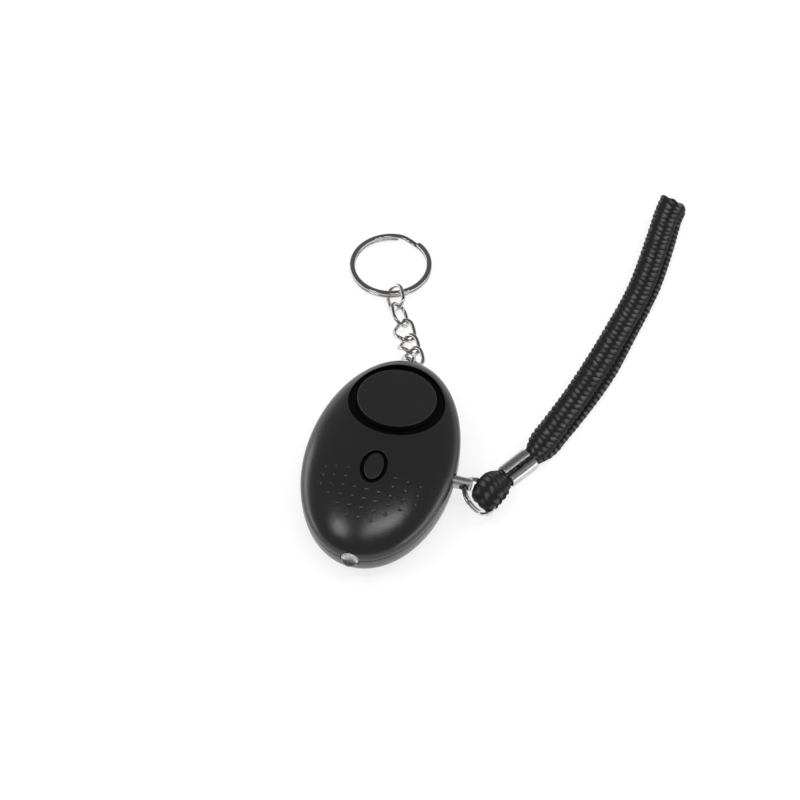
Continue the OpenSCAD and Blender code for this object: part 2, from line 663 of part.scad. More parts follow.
front_shell();
rear_shell();
siren_cap();
siren_chamber();
sounder_plate();
sounder_ceramic();
torch_button();
switch_plunger();
tact_switch();
circuit_board();
torch_lamp();
pin_socket();
socket_contacts();
pull_pin();
pin_ring();
battery_holder();
cell(0);  // cell_1
cell(1);  // cell_2
cell(2);  // cell_3
positive_contact();
negative_contact();
case_screw(0);  // case_screw_1
case_screw(1);  // case_screw_2
case_screw(2);  // case_screw_3
case_screw(3);  // case_screw_4
chain_eye();
link(0);  // chain_link_1
link(1);  // chain_link_2
link(2);  // chain_link_3
link(3);  // chain_link_4
link(4);  // chain_link_5
key_ring();
strap_crimp();
strap_loop();
wrist_strap();
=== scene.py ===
"""Looks of a personal safety alarm: black case, sound cap, torch, pull pin, chain and wrist strap.

Every surface is worked out in millimetres with numpy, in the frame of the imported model, and is
put into its mesh in metres. Each sub-assembly is a class with its sizes as fields.
"""

import logging
import math
from dataclasses import dataclass
from enum import Enum
from typing import Callable, Optional, Sequence, Union

import bmesh
import bpy
import numpy as np
from mathutils import Matrix, Vector


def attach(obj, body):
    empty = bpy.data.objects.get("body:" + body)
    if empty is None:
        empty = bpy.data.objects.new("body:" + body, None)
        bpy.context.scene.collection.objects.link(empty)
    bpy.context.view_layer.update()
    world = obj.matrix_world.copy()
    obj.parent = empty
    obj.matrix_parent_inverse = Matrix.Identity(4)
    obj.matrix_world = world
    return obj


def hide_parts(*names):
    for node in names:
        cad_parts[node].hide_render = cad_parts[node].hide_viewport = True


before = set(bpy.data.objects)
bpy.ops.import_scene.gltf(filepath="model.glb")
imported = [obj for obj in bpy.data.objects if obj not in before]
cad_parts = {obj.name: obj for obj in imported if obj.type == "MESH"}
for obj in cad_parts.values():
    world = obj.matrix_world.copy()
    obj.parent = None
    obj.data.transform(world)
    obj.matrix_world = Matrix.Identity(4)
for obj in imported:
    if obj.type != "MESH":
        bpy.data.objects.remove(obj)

MM = 0.001
SEAL = 0.0001
QUARTER = 0.5 * np.pi
X, Y, Z = np.eye(3)
log = logging.getLogger("alarm")
Array = np.ndarray
Number = Union[float, np.ndarray]
Point = tuple[float, float, float]
Colour = tuple[float, float, float]
Material = bpy.types.Material
Piece = bpy.types.Object


# Shader maths

def operator(operation: str, swapped: bool = False) -> Callable[["Sock", "Value"], "Sock"]:
    """A method of Sock that adds a Math node.

    Args:
        operation: the node's operation.
        swapped: the other value comes first.

    Returns:
        The method.
    """
    def method(self: "Sock", other: "Value") -> "Sock":
        """Apply the operation to this value and another."""
        return self.math(operation, other, self) if swapped else self.math(operation, self, other)

    return method


class Sock:
    """An output socket that takes part in Python expressions, each of which adds a Math node."""

    def __init__(self, graph: "Graph", socket: bpy.types.NodeSocket) -> None:
        """Keep the graph that the socket belongs to."""
        self.graph = graph
        self.socket = socket

    def math(self, operation: str, *values: "Value") -> "Sock":
        """Add a Math node of that operation on these values."""
        return self.graph.add("ShaderNodeMath", {"operation": operation}, dict(enumerate(values)))

    def sine(self) -> "Sock":
        """Sine of a value in radians."""
        return self.math("SINE", self)

    __add__, __radd__ = operator("ADD"), operator("ADD", True)
    __sub__, __rsub__ = operator("SUBTRACT"), operator("SUBTRACT", True)
    __mul__, __rmul__ = operator("MULTIPLY"), operator("MULTIPLY", True)
    __gt__ = operator("GREATER_THAN")


Value = Union[Sock, float]
Paint = Union[Sock, Colour]


class Graph:
    """The node tree of a material or of the world, with one method for any node."""

    def __init__(self, owner: Union[Material, bpy.types.World]) -> None:
        """Empty the owner's node tree."""
        owner.use_nodes = True
        self.owner = owner
        self.tree = owner.node_tree
        self.tree.nodes.clear()

    def add(self, kind: str, settings: Optional[dict] = None, sockets: Optional[dict] = None,
            out: Union[int, str] = 0) -> Sock:
        """Add any node.

        Args:
            kind: the node's type.
            settings: its properties, set first; "stops" are a ramp's (place, colour) pairs.
            sockets: numbers, colours or sockets for its inputs, by name or index.
            out: the output that is handed back.

        Returns:
            That output.
        """
        node = self.tree.nodes.new(kind)
        for key, value in (settings or {}).items():
            if key == "stops":
                elements = node.color_ramp.elements
                while len(elements) < len(value):
                    elements.new(1.0)
                for element, (place, colour) in zip(elements, value):
                    element.position = place
                    element.color = (*colour, 1.0)
            else:
                setattr(node, key, value)
        for key, value in (sockets or {}).items():
            if isinstance(value, Sock):
                self.tree.links.new(value.socket, node.inputs[key])
            else:
                node.inputs[key].default_value = value
        return Sock(self, node.outputs[out] if node.outputs else None)

    def place(self) -> Sock:
        """Object coordinates, which are the frame's own, in metres."""
        return self.add("ShaderNodeTexCoord", out="Object")

    def noise(self, vector: Sock, scale: float, detail: float = 3.0, rough: float = 0.5) -> Sock:
        """Noise of about one over scale metres, from 0 to 1."""
        sockets = {"Vector": vector, "Scale": scale, "Detail": detail, "Roughness": rough}
        return self.add("ShaderNodeTexNoise", {}, sockets)

    def span(self, value: Sock, low: float, high: float, top: float = 1.0) -> Sock:
        """Map the range from low to high onto 0 to top, held at both ends."""
        sockets = {0: value, 1: low, 2: high, 3: 0.0, 4: top}
        return self.add("ShaderNodeMapRange", {"clamp": True}, sockets)

    def mix(self, share: Value, first: Paint, second: Paint) -> Sock:
        """Colour between two colours."""
        a, b = (paint if isinstance(paint, Sock) else (*paint, 1.0) for paint in (first, second))
        return self.add("ShaderNodeMix", {"data_type": "RGBA"}, {0: share, 6: a, 7: b}, out=2)

    def parts(self, vector: Sock) -> list[Sock]:
        """The three numbers of a vector."""
        split = self.add("ShaderNodeSeparateXYZ", {}, {0: vector})
        return [Sock(self, socket) for socket in split.socket.node.outputs]

    def attribute(self, name: str) -> Sock:
        """A number kept at each point of the piece's mesh."""
        return self.add("ShaderNodeAttribute", {"attribute_name": name}, {}, out="Fac")

    def bump(self, height: Sock, strength: float, distance: float) -> Sock:
        """A normal from a height, with the depth in metres."""
        sockets = {"Strength": strength, "Distance": distance, "Height": height}
        return self.add("ShaderNodeBump", {}, sockets)

    def surface(self, sockets: dict) -> Material:
        """End the tree in one Principled shader.

        Args:
            sockets: its inputs.

        Returns:
            The material.
        """
        shader = self.add("ShaderNodeBsdfPrincipled", {}, sockets)
        self.add("ShaderNodeOutputMaterial", {}, {"Surface": shader})
        return self.owner


# Finishes

@dataclass(frozen=True)
class MouldedPlastic:
    """Moulded plastic with a fine spark-eroded grain, slight flow marks and faint handling wear.

    Attributes:
        name: the material's name.
        colour: of the plastic.
        rough: its mean roughness.
        grain: strength of the grain's relief.
        grain_size: of the grain, in millimetres.
        gloss: specular level.
    """

    name: str
    colour: Colour
    rough: float = 0.4
    grain: float = 0.05
    grain_size: float = 0.16
    gloss: float = 0.5

    def make(self) -> Material:
        """Mix the colour and the roughness from grain, flow marks and rubbed spots.

        Returns:
            The material.
        """
        graph = Graph(bpy.data.materials.new(self.name))
        place = graph.place()
        grain = graph.noise(place, 1.0 / (self.grain_size * MM), 2.0, 0.6)
        flow = graph.noise(place, 90.0, 3.0)
        rub = graph.span(graph.noise(place, 420.0, 6.0, 0.65), 0.52, 0.75)
        lighter = tuple(min(1.0, 1.35 * c + 0.002) for c in self.colour)
        return graph.surface({
            "Base Color": graph.mix(0.75 * flow + 0.12 * grain, self.colour, lighter),
            "Roughness": self.rough - 0.04 + 0.07 * flow + 0.05 * grain - 0.05 * rub,
            "Specular IOR Level": self.gloss,
            "Normal": graph.bump(grain, self.grain, 0.04 * MM),
        })


@dataclass(frozen=True)
class PlatedMetal:
    """Bright plated metal with fine wipe marks, cloudy patches and a few small pits.

    Attributes:
        name: the material's name.
        colour: of the bright plating.
        rough: its mean roughness.
        marks: how far the wipe marks change the roughness.
        dull: colour of the cloudy patches and the pits.
    """

    name: str
    colour: Colour = (0.58, 0.565, 0.55)
    rough: float = 0.1
    marks: float = 0.1
    dull: Colour = (0.5, 0.48, 0.45)

    def make(self) -> Material:
        """Mix the colour and the roughness from stretched wipe marks, clouds and pits.

        Returns:
            The material.
        """
        graph = Graph(bpy.data.materials.new(self.name))
        place = graph.place()
        sockets = {"Vector": place, "Rotation": (0.3, 0.5, 0.7), "Scale": (700.0, 6000.0, 6000.0)}
        wipe = graph.noise(graph.add("ShaderNodeMapping", {}, sockets), 1.0, 2.0)
        cloud = graph.noise(place, 260.0, 4.0)
        pits = graph.span(graph.noise(place, 2600.0, 2.0), 0.7, 0.78)
        share = graph.span(cloud, 0.45, 0.8, 0.45) + 0.4 * pits
        return graph.surface({
            "Base Color": graph.mix(share, self.colour, self.dull),
            "Metallic": 1.0,
            "Roughness": self.rough - 0.5 * self.marks + self.marks * (wipe + cloud) + 0.12 * pits,
            "Normal": graph.bump(wipe - pits, 0.08, 0.02 * MM),
        })


@dataclass(frozen=True)
class BraidedCord:
    """Black braid: yarns lie over each other, with a painted highlight on their tops and painted shade between
    them.

    Attributes:
        name: the material's name.
        yarn: colour of a yarn's top, a painted highlight.
        gap: colour between the yarns, painted shade.
    """

    name: str
    yarn: Colour = (0.135, 0.132, 0.134)
    gap: Colour = (0.008, 0.008, 0.0084)

    def make(self) -> Material:
        """Mix the colour by the height of the yarns, a painted highlight on their tops and painted shade between
        them, with strands, fuzz and specks.

        Returns:
            The material.
        """
        graph = Graph(bpy.data.materials.new(self.name))
        place = graph.place()
        lift, shade, thread = (graph.attribute(name) for name in ("lift", "shade", "thread"))
        fuzz = graph.noise(place, 2600.0, 5.0, 0.65)
        strands = 0.5 + 0.5 * (thread * 6.2832).sine()
        speck = graph.span(graph.noise(place, 1500.0, 3.0, 0.7), 0.5, 0.72)
        # painted highlight and shade: the yarns' tops are made lighter and the gaps darker, standing in for how
        # light falls on the braid
        top = graph.span(lift, 0.36, 0.92) * (0.6 + 0.4 * shade) * (0.7 + 0.3 * strands)
        share = (0.03 + 0.22 * speck * strands + top) * (0.1 + 1.7 * fuzz)
        return graph.surface({
            "Base Color": graph.mix(share, self.gap, self.yarn),
            "Roughness": 0.62 + 0.2 * fuzz,
            "Specular IOR Level": 0.3,
            "Sheen Weight": 0.09,
            "Sheen Roughness": 0.4,
            "Sheen Tint": (0.8, 0.8, 0.85, 1.0),
            "Normal": graph.bump(0.5 * strands + 0.5 * fuzz, 0.5, 0.06 * MM),
        })


@dataclass(frozen=True)
class ClearLens:
    """Clear cast lamp body with faint flow lines.

    Attributes:
        name: the material's name.
    """

    name: str

    def make(self) -> Material:
        """Let light through, with a tint and a roughness that follow the flow lines.

        Returns:
            The material.
        """
        graph = Graph(bpy.data.materials.new(self.name))
        flow = graph.noise(graph.place(), 500.0, 3.0)
        return graph.surface({
            "Base Color": graph.mix(flow, (0.93, 0.95, 0.97), (0.99, 0.99, 1.0)),
            "Roughness": 0.03 + 0.05 * flow,
            "IOR": 1.5,
            "Transmission Weight": 1.0,
        })


@dataclass(frozen=True)
class PrintedBoard:
    """Green board with copper tracks under the lacquer and pale pads.

    Attributes:
        name: the material's name.
    """

    name: str

    def make(self) -> Material:
        """Tracks are stripes that jump from cell to cell, and pads a grid of spots.

        Returns:
            The material.
        """
        graph = Graph(bpy.data.materials.new(self.name))
        place = graph.place()
        x, y, _ = graph.parts(place)
        snap = {0: place, 1: (0.0013, 0.0013, 0.01)}
        step = graph.noise(graph.add("ShaderNodeVectorMath", {"operation": "SNAP"}, snap), 300.0, 1.0)
        tracks = ((x * 4800.0 + 6.0 * step).sine() > 0.55) * (step > 0.48)
        pads = (y * 3900.0).sine() * (x * 2600.0).sine() > 0.8
        lacquer = graph.mix(0.6 * tracks, (0.012, 0.09, 0.03), (0.03, 0.19, 0.06))
        return graph.surface({
            "Base Color": graph.mix(pads, lacquer, (0.72, 0.7, 0.62)),
            "Roughness": 0.3 + 0.15 * step,
            "Metallic": pads * 0.8,
        })


# Curves and surfaces

@dataclass
class Patch:
    """A surface on a grid: rows by columns of points in millimetres.

    Attributes:
        points: the grid, of shape (rows, columns, 3).
        ring: the last column joins the first.
        loop: the last row joins the first.
        first: a pole that closes the first row.
        last: a pole that closes the last row.
        flip: turns the faces round.
    """

    points: Array
    ring: bool = True
    loop: bool = False
    first: Optional[Array] = None
    last: Optional[Array] = None
    flip: bool = False

    def faces(self, start: int) -> tuple[Array, list[list[int]]]:
        """Index the patch's vertices, then any poles, from start.

        Args:
            start: the index of its first vertex.

        Returns:
            Its vertices and its faces.
        """
        rows, cols, _ = self.points.shape
        index = start + np.arange(rows * cols).reshape(rows, cols)
        edge = np.concatenate([index, index[:, :1]], axis=1) if self.ring else index
        grid = np.concatenate([edge, edge[:1]]) if self.loop else edge
        quads = np.stack([grid[:-1, :-1], grid[:-1, 1:], grid[1:, 1:], grid[1:, :-1]], axis=-1)
        out = quads.reshape(-1, 4).tolist()
        vertices = [self.points.reshape(-1, 3)]
        pole = start + rows * cols
        for point, row, order in ((self.first, edge[0], 1), (self.last, edge[-1], -1)):
            if point is not None:
                fan = np.stack([np.full(len(row) - 1, pole), row[1:], row[:-1]], axis=-1)
                out += fan[:, ::order].tolist()
                vertices.append(np.asarray(point, float).reshape(1, 3))
                pole += 1
        if self.flip:
            out = [face[::-1] for face in out]
        return np.concatenate(vertices), out


def unit(vectors: Array) -> Array:
    """Vectors of length one, along the last axis."""
    return vectors / np.linalg.norm(vectors, axis=-1, keepdims=True)


def turn(axis: str, degrees: float) -> Array:
    """Matrix of a right-hand turn about one axis."""
    return np.array(Matrix.Rotation(math.radians(degrees), 3, axis))


def circle(count: int) -> Array:
    """Even angles round a full turn."""
    return np.linspace(0.0, 2 * np.pi, count, endpoint=False)


def signed_power(value: Array, power: float) -> Array:
    """A power of the value's size, with the value's sign."""
    return np.sign(value) * np.abs(value) ** power


def lengths(line: Array) -> Array:
    """Distance of each point of a line from its start, along the line."""
    return np.concatenate([[0.0], np.cumsum(np.linalg.norm(np.diff(line, axis=0), axis=1))])


def raised(xy: Array, z: Number) -> Array:
    """Points of the plane at a height."""
    return np.concatenate([xy, np.broadcast_to(z, xy.shape[:-1])[..., None]], axis=-1)


def softened(first: Array, corner: Array, last: Array, count: int) -> Array:
    """Rows of a quadratic curve from one edge past a corner to another, without its start."""
    u = np.linspace(0.0, 1.0, count + 1)[1:, None, None]
    return (1 - u) ** 2 * first + 2 * u * (1 - u) * corner + u * u * last


def tube(line: Array, side: Array, up: Array, radius: float, count: int) -> Array:
    """A circle carried along a line, in the plane of two vectors at each point."""
    c = circle(count)[:, None]
    return line[:, None] + radius * (np.cos(c) * side[:, None] + np.sin(c) * up[:, None])


def revolve(section: Sequence[Sequence[float]], middle: Array, axes: Sequence[Array] = (X, Y, Z),
            count: int = 40, hollow: bool = False) -> Patch:
    """Turn a section, rows of radius and height, about the third axis.

    Args:
        section: the rows; the first and the last lie on the axis, unless the piece is hollow.
        middle: where the heights start.
        axes: two vectors across the axis and one along it.
        count: points round a row.
        hollow: the section is a closed line clear of the axis.

    Returns:
        The surface.
    """
    radius, height = np.asarray(section, float).T[..., None, None]
    c = circle(count)[:, None]
    points = middle + radius * (np.cos(c) * axes[0] + np.sin(c) * axes[1]) + height * axes[2]
    if hollow:
        return Patch(points, loop=True)
    return Patch(points[1:-1], first=points[0, 0], last=points[-1, 0])


def smooth_route(knots: Array, step: float) -> Array:
    """Catmull-Rom curve through rows of numbers whose first three are a place, at an even spacing.

    Args:
        knots: the rows.
        step: the spacing in millimetres.

    Returns:
        Rows of the same numbers along the curve.
    """
    padded = np.concatenate([knots[:1], knots, knots[-1:]])
    a, b, c, d = (padded[i:len(padded) - 3 + i, None, :] for i in range(4))
    u = np.linspace(0.0, 1.0, 60, endpoint=False)[None, :, None]
    curve = 0.5 * (2 * b + u * (c - a) + u * u * (2 * a - 5 * b + 4 * c - d)
                   + u ** 3 * (3 * b - a - 3 * c + d))
    fine = np.concatenate([curve.reshape(-1, knots.shape[1]), knots[-1:]])
    length = lengths(fine[:, :3])
    even = np.linspace(0.0, length[-1], int(round(length[-1] / step)) + 1)
    return np.stack([np.interp(even, length, column) for column in fine.T], axis=1)


# Pieces

def soften(mesh: bpy.types.Mesh, sharp: float) -> None:
    """Shade a mesh smooth, apart from edges past an angle in degrees."""
    mesh.polygons.foreach_set("use_smooth", np.ones(len(mesh.polygons), bool))
    mesh.set_sharp_from_angle(angle=math.radians(sharp))


def make_piece(name: str, patches: Sequence[Patch], merge: float = 0.0, sharp: float = 40.0,
               numbers: Optional[dict[str, Array]] = None) -> Piece:
    """Put patches into one mesh object at the origin.

    Args:
        name: the piece's name.
        patches: its surfaces.
        merge: the distance in millimetres under which points become one.
        sharp: the angle in degrees past which an edge is shown sharp.
        numbers: arrays of one number a vertex, kept as attributes.

    Returns:
        The object.
    """
    vertices: list[Array] = []
    faces: list[list[int]] = []
    count = 0
    for patch in patches:
        points, found = patch.faces(count)
        vertices.append(points)
        faces += found
        count += len(points)
    mesh = bpy.data.meshes.new(name)
    mesh.from_pydata((np.concatenate(vertices) * MM).tolist(), [], faces)
    for key, values in (numbers or {}).items():
        layer = mesh.attributes.new(key, "FLOAT", "POINT")
        layer.data.foreach_set("value", np.asarray(values, np.float32).ravel())
    if merge:
        work = bmesh.new()
        work.from_mesh(mesh)
        bmesh.ops.remove_doubles(work, verts=work.verts, dist=merge * MM)
        bmesh.ops.recalc_face_normals(work, faces=work.faces)
        work.to_mesh(mesh)
        work.free()
    soften(mesh, sharp)
    piece = bpy.data.objects.new(name, mesh)
    bpy.context.scene.collection.objects.link(piece)
    return piece


def cut(piece: Piece, cutter: Piece, sharp: float = 40.0) -> None:
    """Take one closed piece out of another, for good.

    Args:
        piece: what is cut.
        cutter: what is taken away, and deleted.
        sharp: the angle in degrees past which an edge is shown sharp.
    """
    change = piece.modifiers.new("cut", "BOOLEAN")
    change.operation = "DIFFERENCE"
    change.solver = "EXACT"
    change.object = cutter
    graph = bpy.context.evaluated_depsgraph_get()
    mesh = bpy.data.meshes.new_from_object(piece.evaluated_get(graph))
    piece.modifiers.clear()
    piece.data = mesh
    soften(mesh, sharp)
    bpy.data.objects.remove(cutter)


def face_centres(piece: Piece) -> Array:
    """Middles of a piece's faces, in millimetres.

    Args:
        piece: the object.

    Returns:
        One row a face.
    """
    centres = np.empty(3 * len(piece.data.polygons))
    piece.data.polygons.foreach_get("center", centres)
    return centres.reshape(-1, 3) / MM


def second_finish(piece: Piece, material: Material, where: Array) -> None:
    """Give some of a piece's faces a second finish.

    Args:
        piece: the object.
        material: the second finish.
        where: true for those faces.
    """
    piece.data.materials.append(material)
    piece.data.polygons.foreach_set("material_index", where.astype(np.int32))


def dress(piece: Piece, material: Material, body: str, nodes: Sequence[str] = ()) -> Piece:
    """Give a piece its finish, its body and the nodes that it stands for.

    Args:
        piece: the object.
        material: its material.
        body: the CAD body that it rides on.
        nodes: the CAD nodes that it replaces.

    Returns:
        The object.
    """
    piece.data.materials.clear()
    piece.data.materials.append(material)
    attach(piece, body)
    if nodes:
        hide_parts(*nodes)
    log.info("%s: %d faces on %s", piece.name, len(piece.data.polygons), body)
    return piece


# Studio

@dataclass(frozen=True)
class SoftBox:
    """A soft lamp.

    Attributes:
        name: the lamp's name.
        place: where it hangs, in millimetres.
        size: its two sides in millimetres.
        power: in watts.
        along: which way its first side runs.
    """

    name: str
    place: Point
    size: tuple[float, float]
    power: float
    along: Point


@dataclass
class Studio:
    """Camera at the photograph's angle, pale floor, soft light and a white surround.

    Attributes:
        elevation: how far the camera looks down, in degrees.
        yaw: its turn about the upright, in degrees.
        distance: from the target, in millimetres.
        target: the point on the floor in the middle of the picture.
        lens: focal length for a sensor of that width, in millimetres.
        sensor: width of the sensor, in millimetres.
        lift: shift of the picture's middle, as a share of its width.
        floor_half: half the floor's side.
        floor_z: height of the floor, just under the case.
        floor_tone: grey of the floor.
        floor_glow: what the floor adds for rays that show it.
        surround: strength of the surround's light.
        sky: greys of the surround by height, from the floor's level up.
        aim: the point that the soft boxes face.
        boxes: the soft boxes.
    """

    elevation: float = 55.9
    yaw: float = 14.96
    distance: float = 492.36
    target: Point = (-2.29, 27.77, 0.0)
    lens: float = 76.5
    sensor: float = 36.0
    lift: float = -0.0025
    floor_half: float = 3000.0
    floor_z: float = -0.02
    floor_tone: float = 0.36
    floor_glow: float = 0.7
    surround: float = 0.8
    sky: tuple[tuple[float, Colour], ...] = (
        (0.0, (1.0, 1.0, 1.0)), (0.06, (1.0, 1.0, 1.0)), (0.28, (0.22, 0.22, 0.225)), (1.0, (0.09, 0.09, 0.095)))
    aim: Point = (10.0, 20.0, 8.0)
    boxes: tuple[SoftBox, ...] = (
        SoftBox("left_soft_box", (-267.0, -150.0, 585.0), (150.0, 120.0), 0.34, (1.0, 0.0, 0.0)),
        SoftBox("right_soft_box", (158.0, -48.0, 648.0), (350.0, 66.0), 0.6, (0.9, 0.42, 0.0)),
        SoftBox("left_low_box", (-690.0, 20.0, 100.0), (700.0, 180.0), 0.9, (0.0, 1.0, 0.0)),
        SoftBox("right_low_box", (690.0, -40.0, 110.0), (700.0, 200.0), 0.9, (0.0, 1.0, 0.0)))

    def hang(self, name: str, data: bpy.types.ID, axes: Sequence[Vector], place: Vector) -> Piece:
        """Put a camera or a lamp into the scene.

        Args:
            name: the object's name.
            data: the camera or the lamp.
            axes: its right, up and back vectors.
            place: where it is, in millimetres.

        Returns:
            The object.
        """
        thing = bpy.data.objects.new(name, data)
        matrix = Matrix(axes).transposed().to_4x4()
        matrix.translation = place * MM
        thing.matrix_world = matrix
        bpy.context.scene.collection.objects.link(thing)
        return thing

    def camera(self) -> None:
        """Place the camera: its right, up and back vectors from the yaw and the elevation."""
        e, y = math.radians(self.elevation), math.radians(self.yaw)
        right = Vector((math.cos(y), math.sin(y), 0.0))
        back = Vector((math.sin(y) * math.cos(e), -math.cos(y) * math.cos(e), math.sin(e)))
        data = bpy.data.cameras.new("camera")
        data.lens = self.lens
        data.sensor_width = self.sensor
        data.shift_y = self.lift
        data.clip_start = 0.01
        place = Vector(self.target) + self.distance * back
        axes = (right, back.cross(right), back)
        bpy.context.scene.camera = self.hang("camera", data, axes, place)

    def seen(self, graph: Graph) -> Sock:
        """Pick the rays that show a thing to the camera, in a mirror or through glass.

        Args:
            graph: the tree that asks.

        Returns:
            One for those rays, else zero.
        """
        path = graph.add("ShaderNodeLightPath").socket.node
        kinds = ("Is Camera Ray", "Is Glossy Ray", "Is Transmission Ray")
        first, glossy, through = (Sock(graph, path.outputs[kind]) for kind in kinds)
        return first.math("MAXIMUM", first.math("MAXIMUM", first, glossy), through)

    def floor(self) -> None:
        """Pale floor that keeps the shadow and reads white where nothing shades it."""
        side = np.array([-self.floor_half, self.floor_half])
        corners = np.stack([*np.meshgrid(side, side), np.full((2, 2), self.floor_z)], axis=-1)
        floor = make_piece("floor", [Patch(corners, ring=False)])
        graph = Graph(bpy.data.materials.new("pale_floor"))
        tint = graph.noise(graph.place(), 3.0, 2.0)
        pale = graph.mix(tint, (self.floor_tone,) * 3, (self.floor_tone + 0.01,) * 3)
        matt = graph.add("ShaderNodeBsdfDiffuse", {}, {"Color": pale})
        glow = graph.add("ShaderNodeEmission", {}, {"Strength": self.seen(graph) * self.floor_glow})
        both = graph.add("ShaderNodeAddShader", {}, {0: matt, 1: glow})
        graph.add("ShaderNodeOutputMaterial", {}, {"Surface": both})
        floor.data.materials.append(graph.owner)

    def world(self) -> None:
        """Surround that is white low down and in front, and dim overhead and behind."""
        world = bpy.data.worlds.new("surround")
        bpy.context.scene.world = world
        graph = Graph(world)
        _, behind, height = graph.parts(graph.add("ShaderNodeTexCoord", out="Generated"))
        ramp = graph.add("ShaderNodeValToRGB", {"stops": self.sky}, {0: height + 0.12 * behind})
        seen = self.seen(graph)
        strength = seen + (1.0 - seen) * self.surround
        colour = graph.mix(seen, (1.0, 1.0, 1.0), ramp)
        light = graph.add("ShaderNodeBackground", {}, {"Color": colour, "Strength": strength})
        graph.add("ShaderNodeOutputWorld", {}, {"Surface": light})

    def lamp(self, box: SoftBox) -> None:
        """Hang a soft box that faces the middle of the object.

        Args:
            box: its sizes.
        """
        data = bpy.data.lights.new(box.name, "AREA")
        data.shape = "RECTANGLE"
        data.size, data.size_y = (side * MM for side in box.size)
        data.energy = box.power
        place = Vector(box.place)
        back = (place - Vector(self.aim)).normalized()
        up = back.cross(Vector(box.along)).normalized()
        self.hang(box.name, data, (up.cross(back), up, back), place)

    def build(self) -> None:
        """Set up the picture."""
        bpy.context.scene.view_settings.view_transform = "Standard"
        self.camera()
        self.floor()
        self.world()
        for box in self.boxes:
            self.lamp(box)


# Strap

class Lean(Enum):
    """Which way the yarns of a braid's column lean."""

    LEFT = -1.0
    RIGHT = 1.0


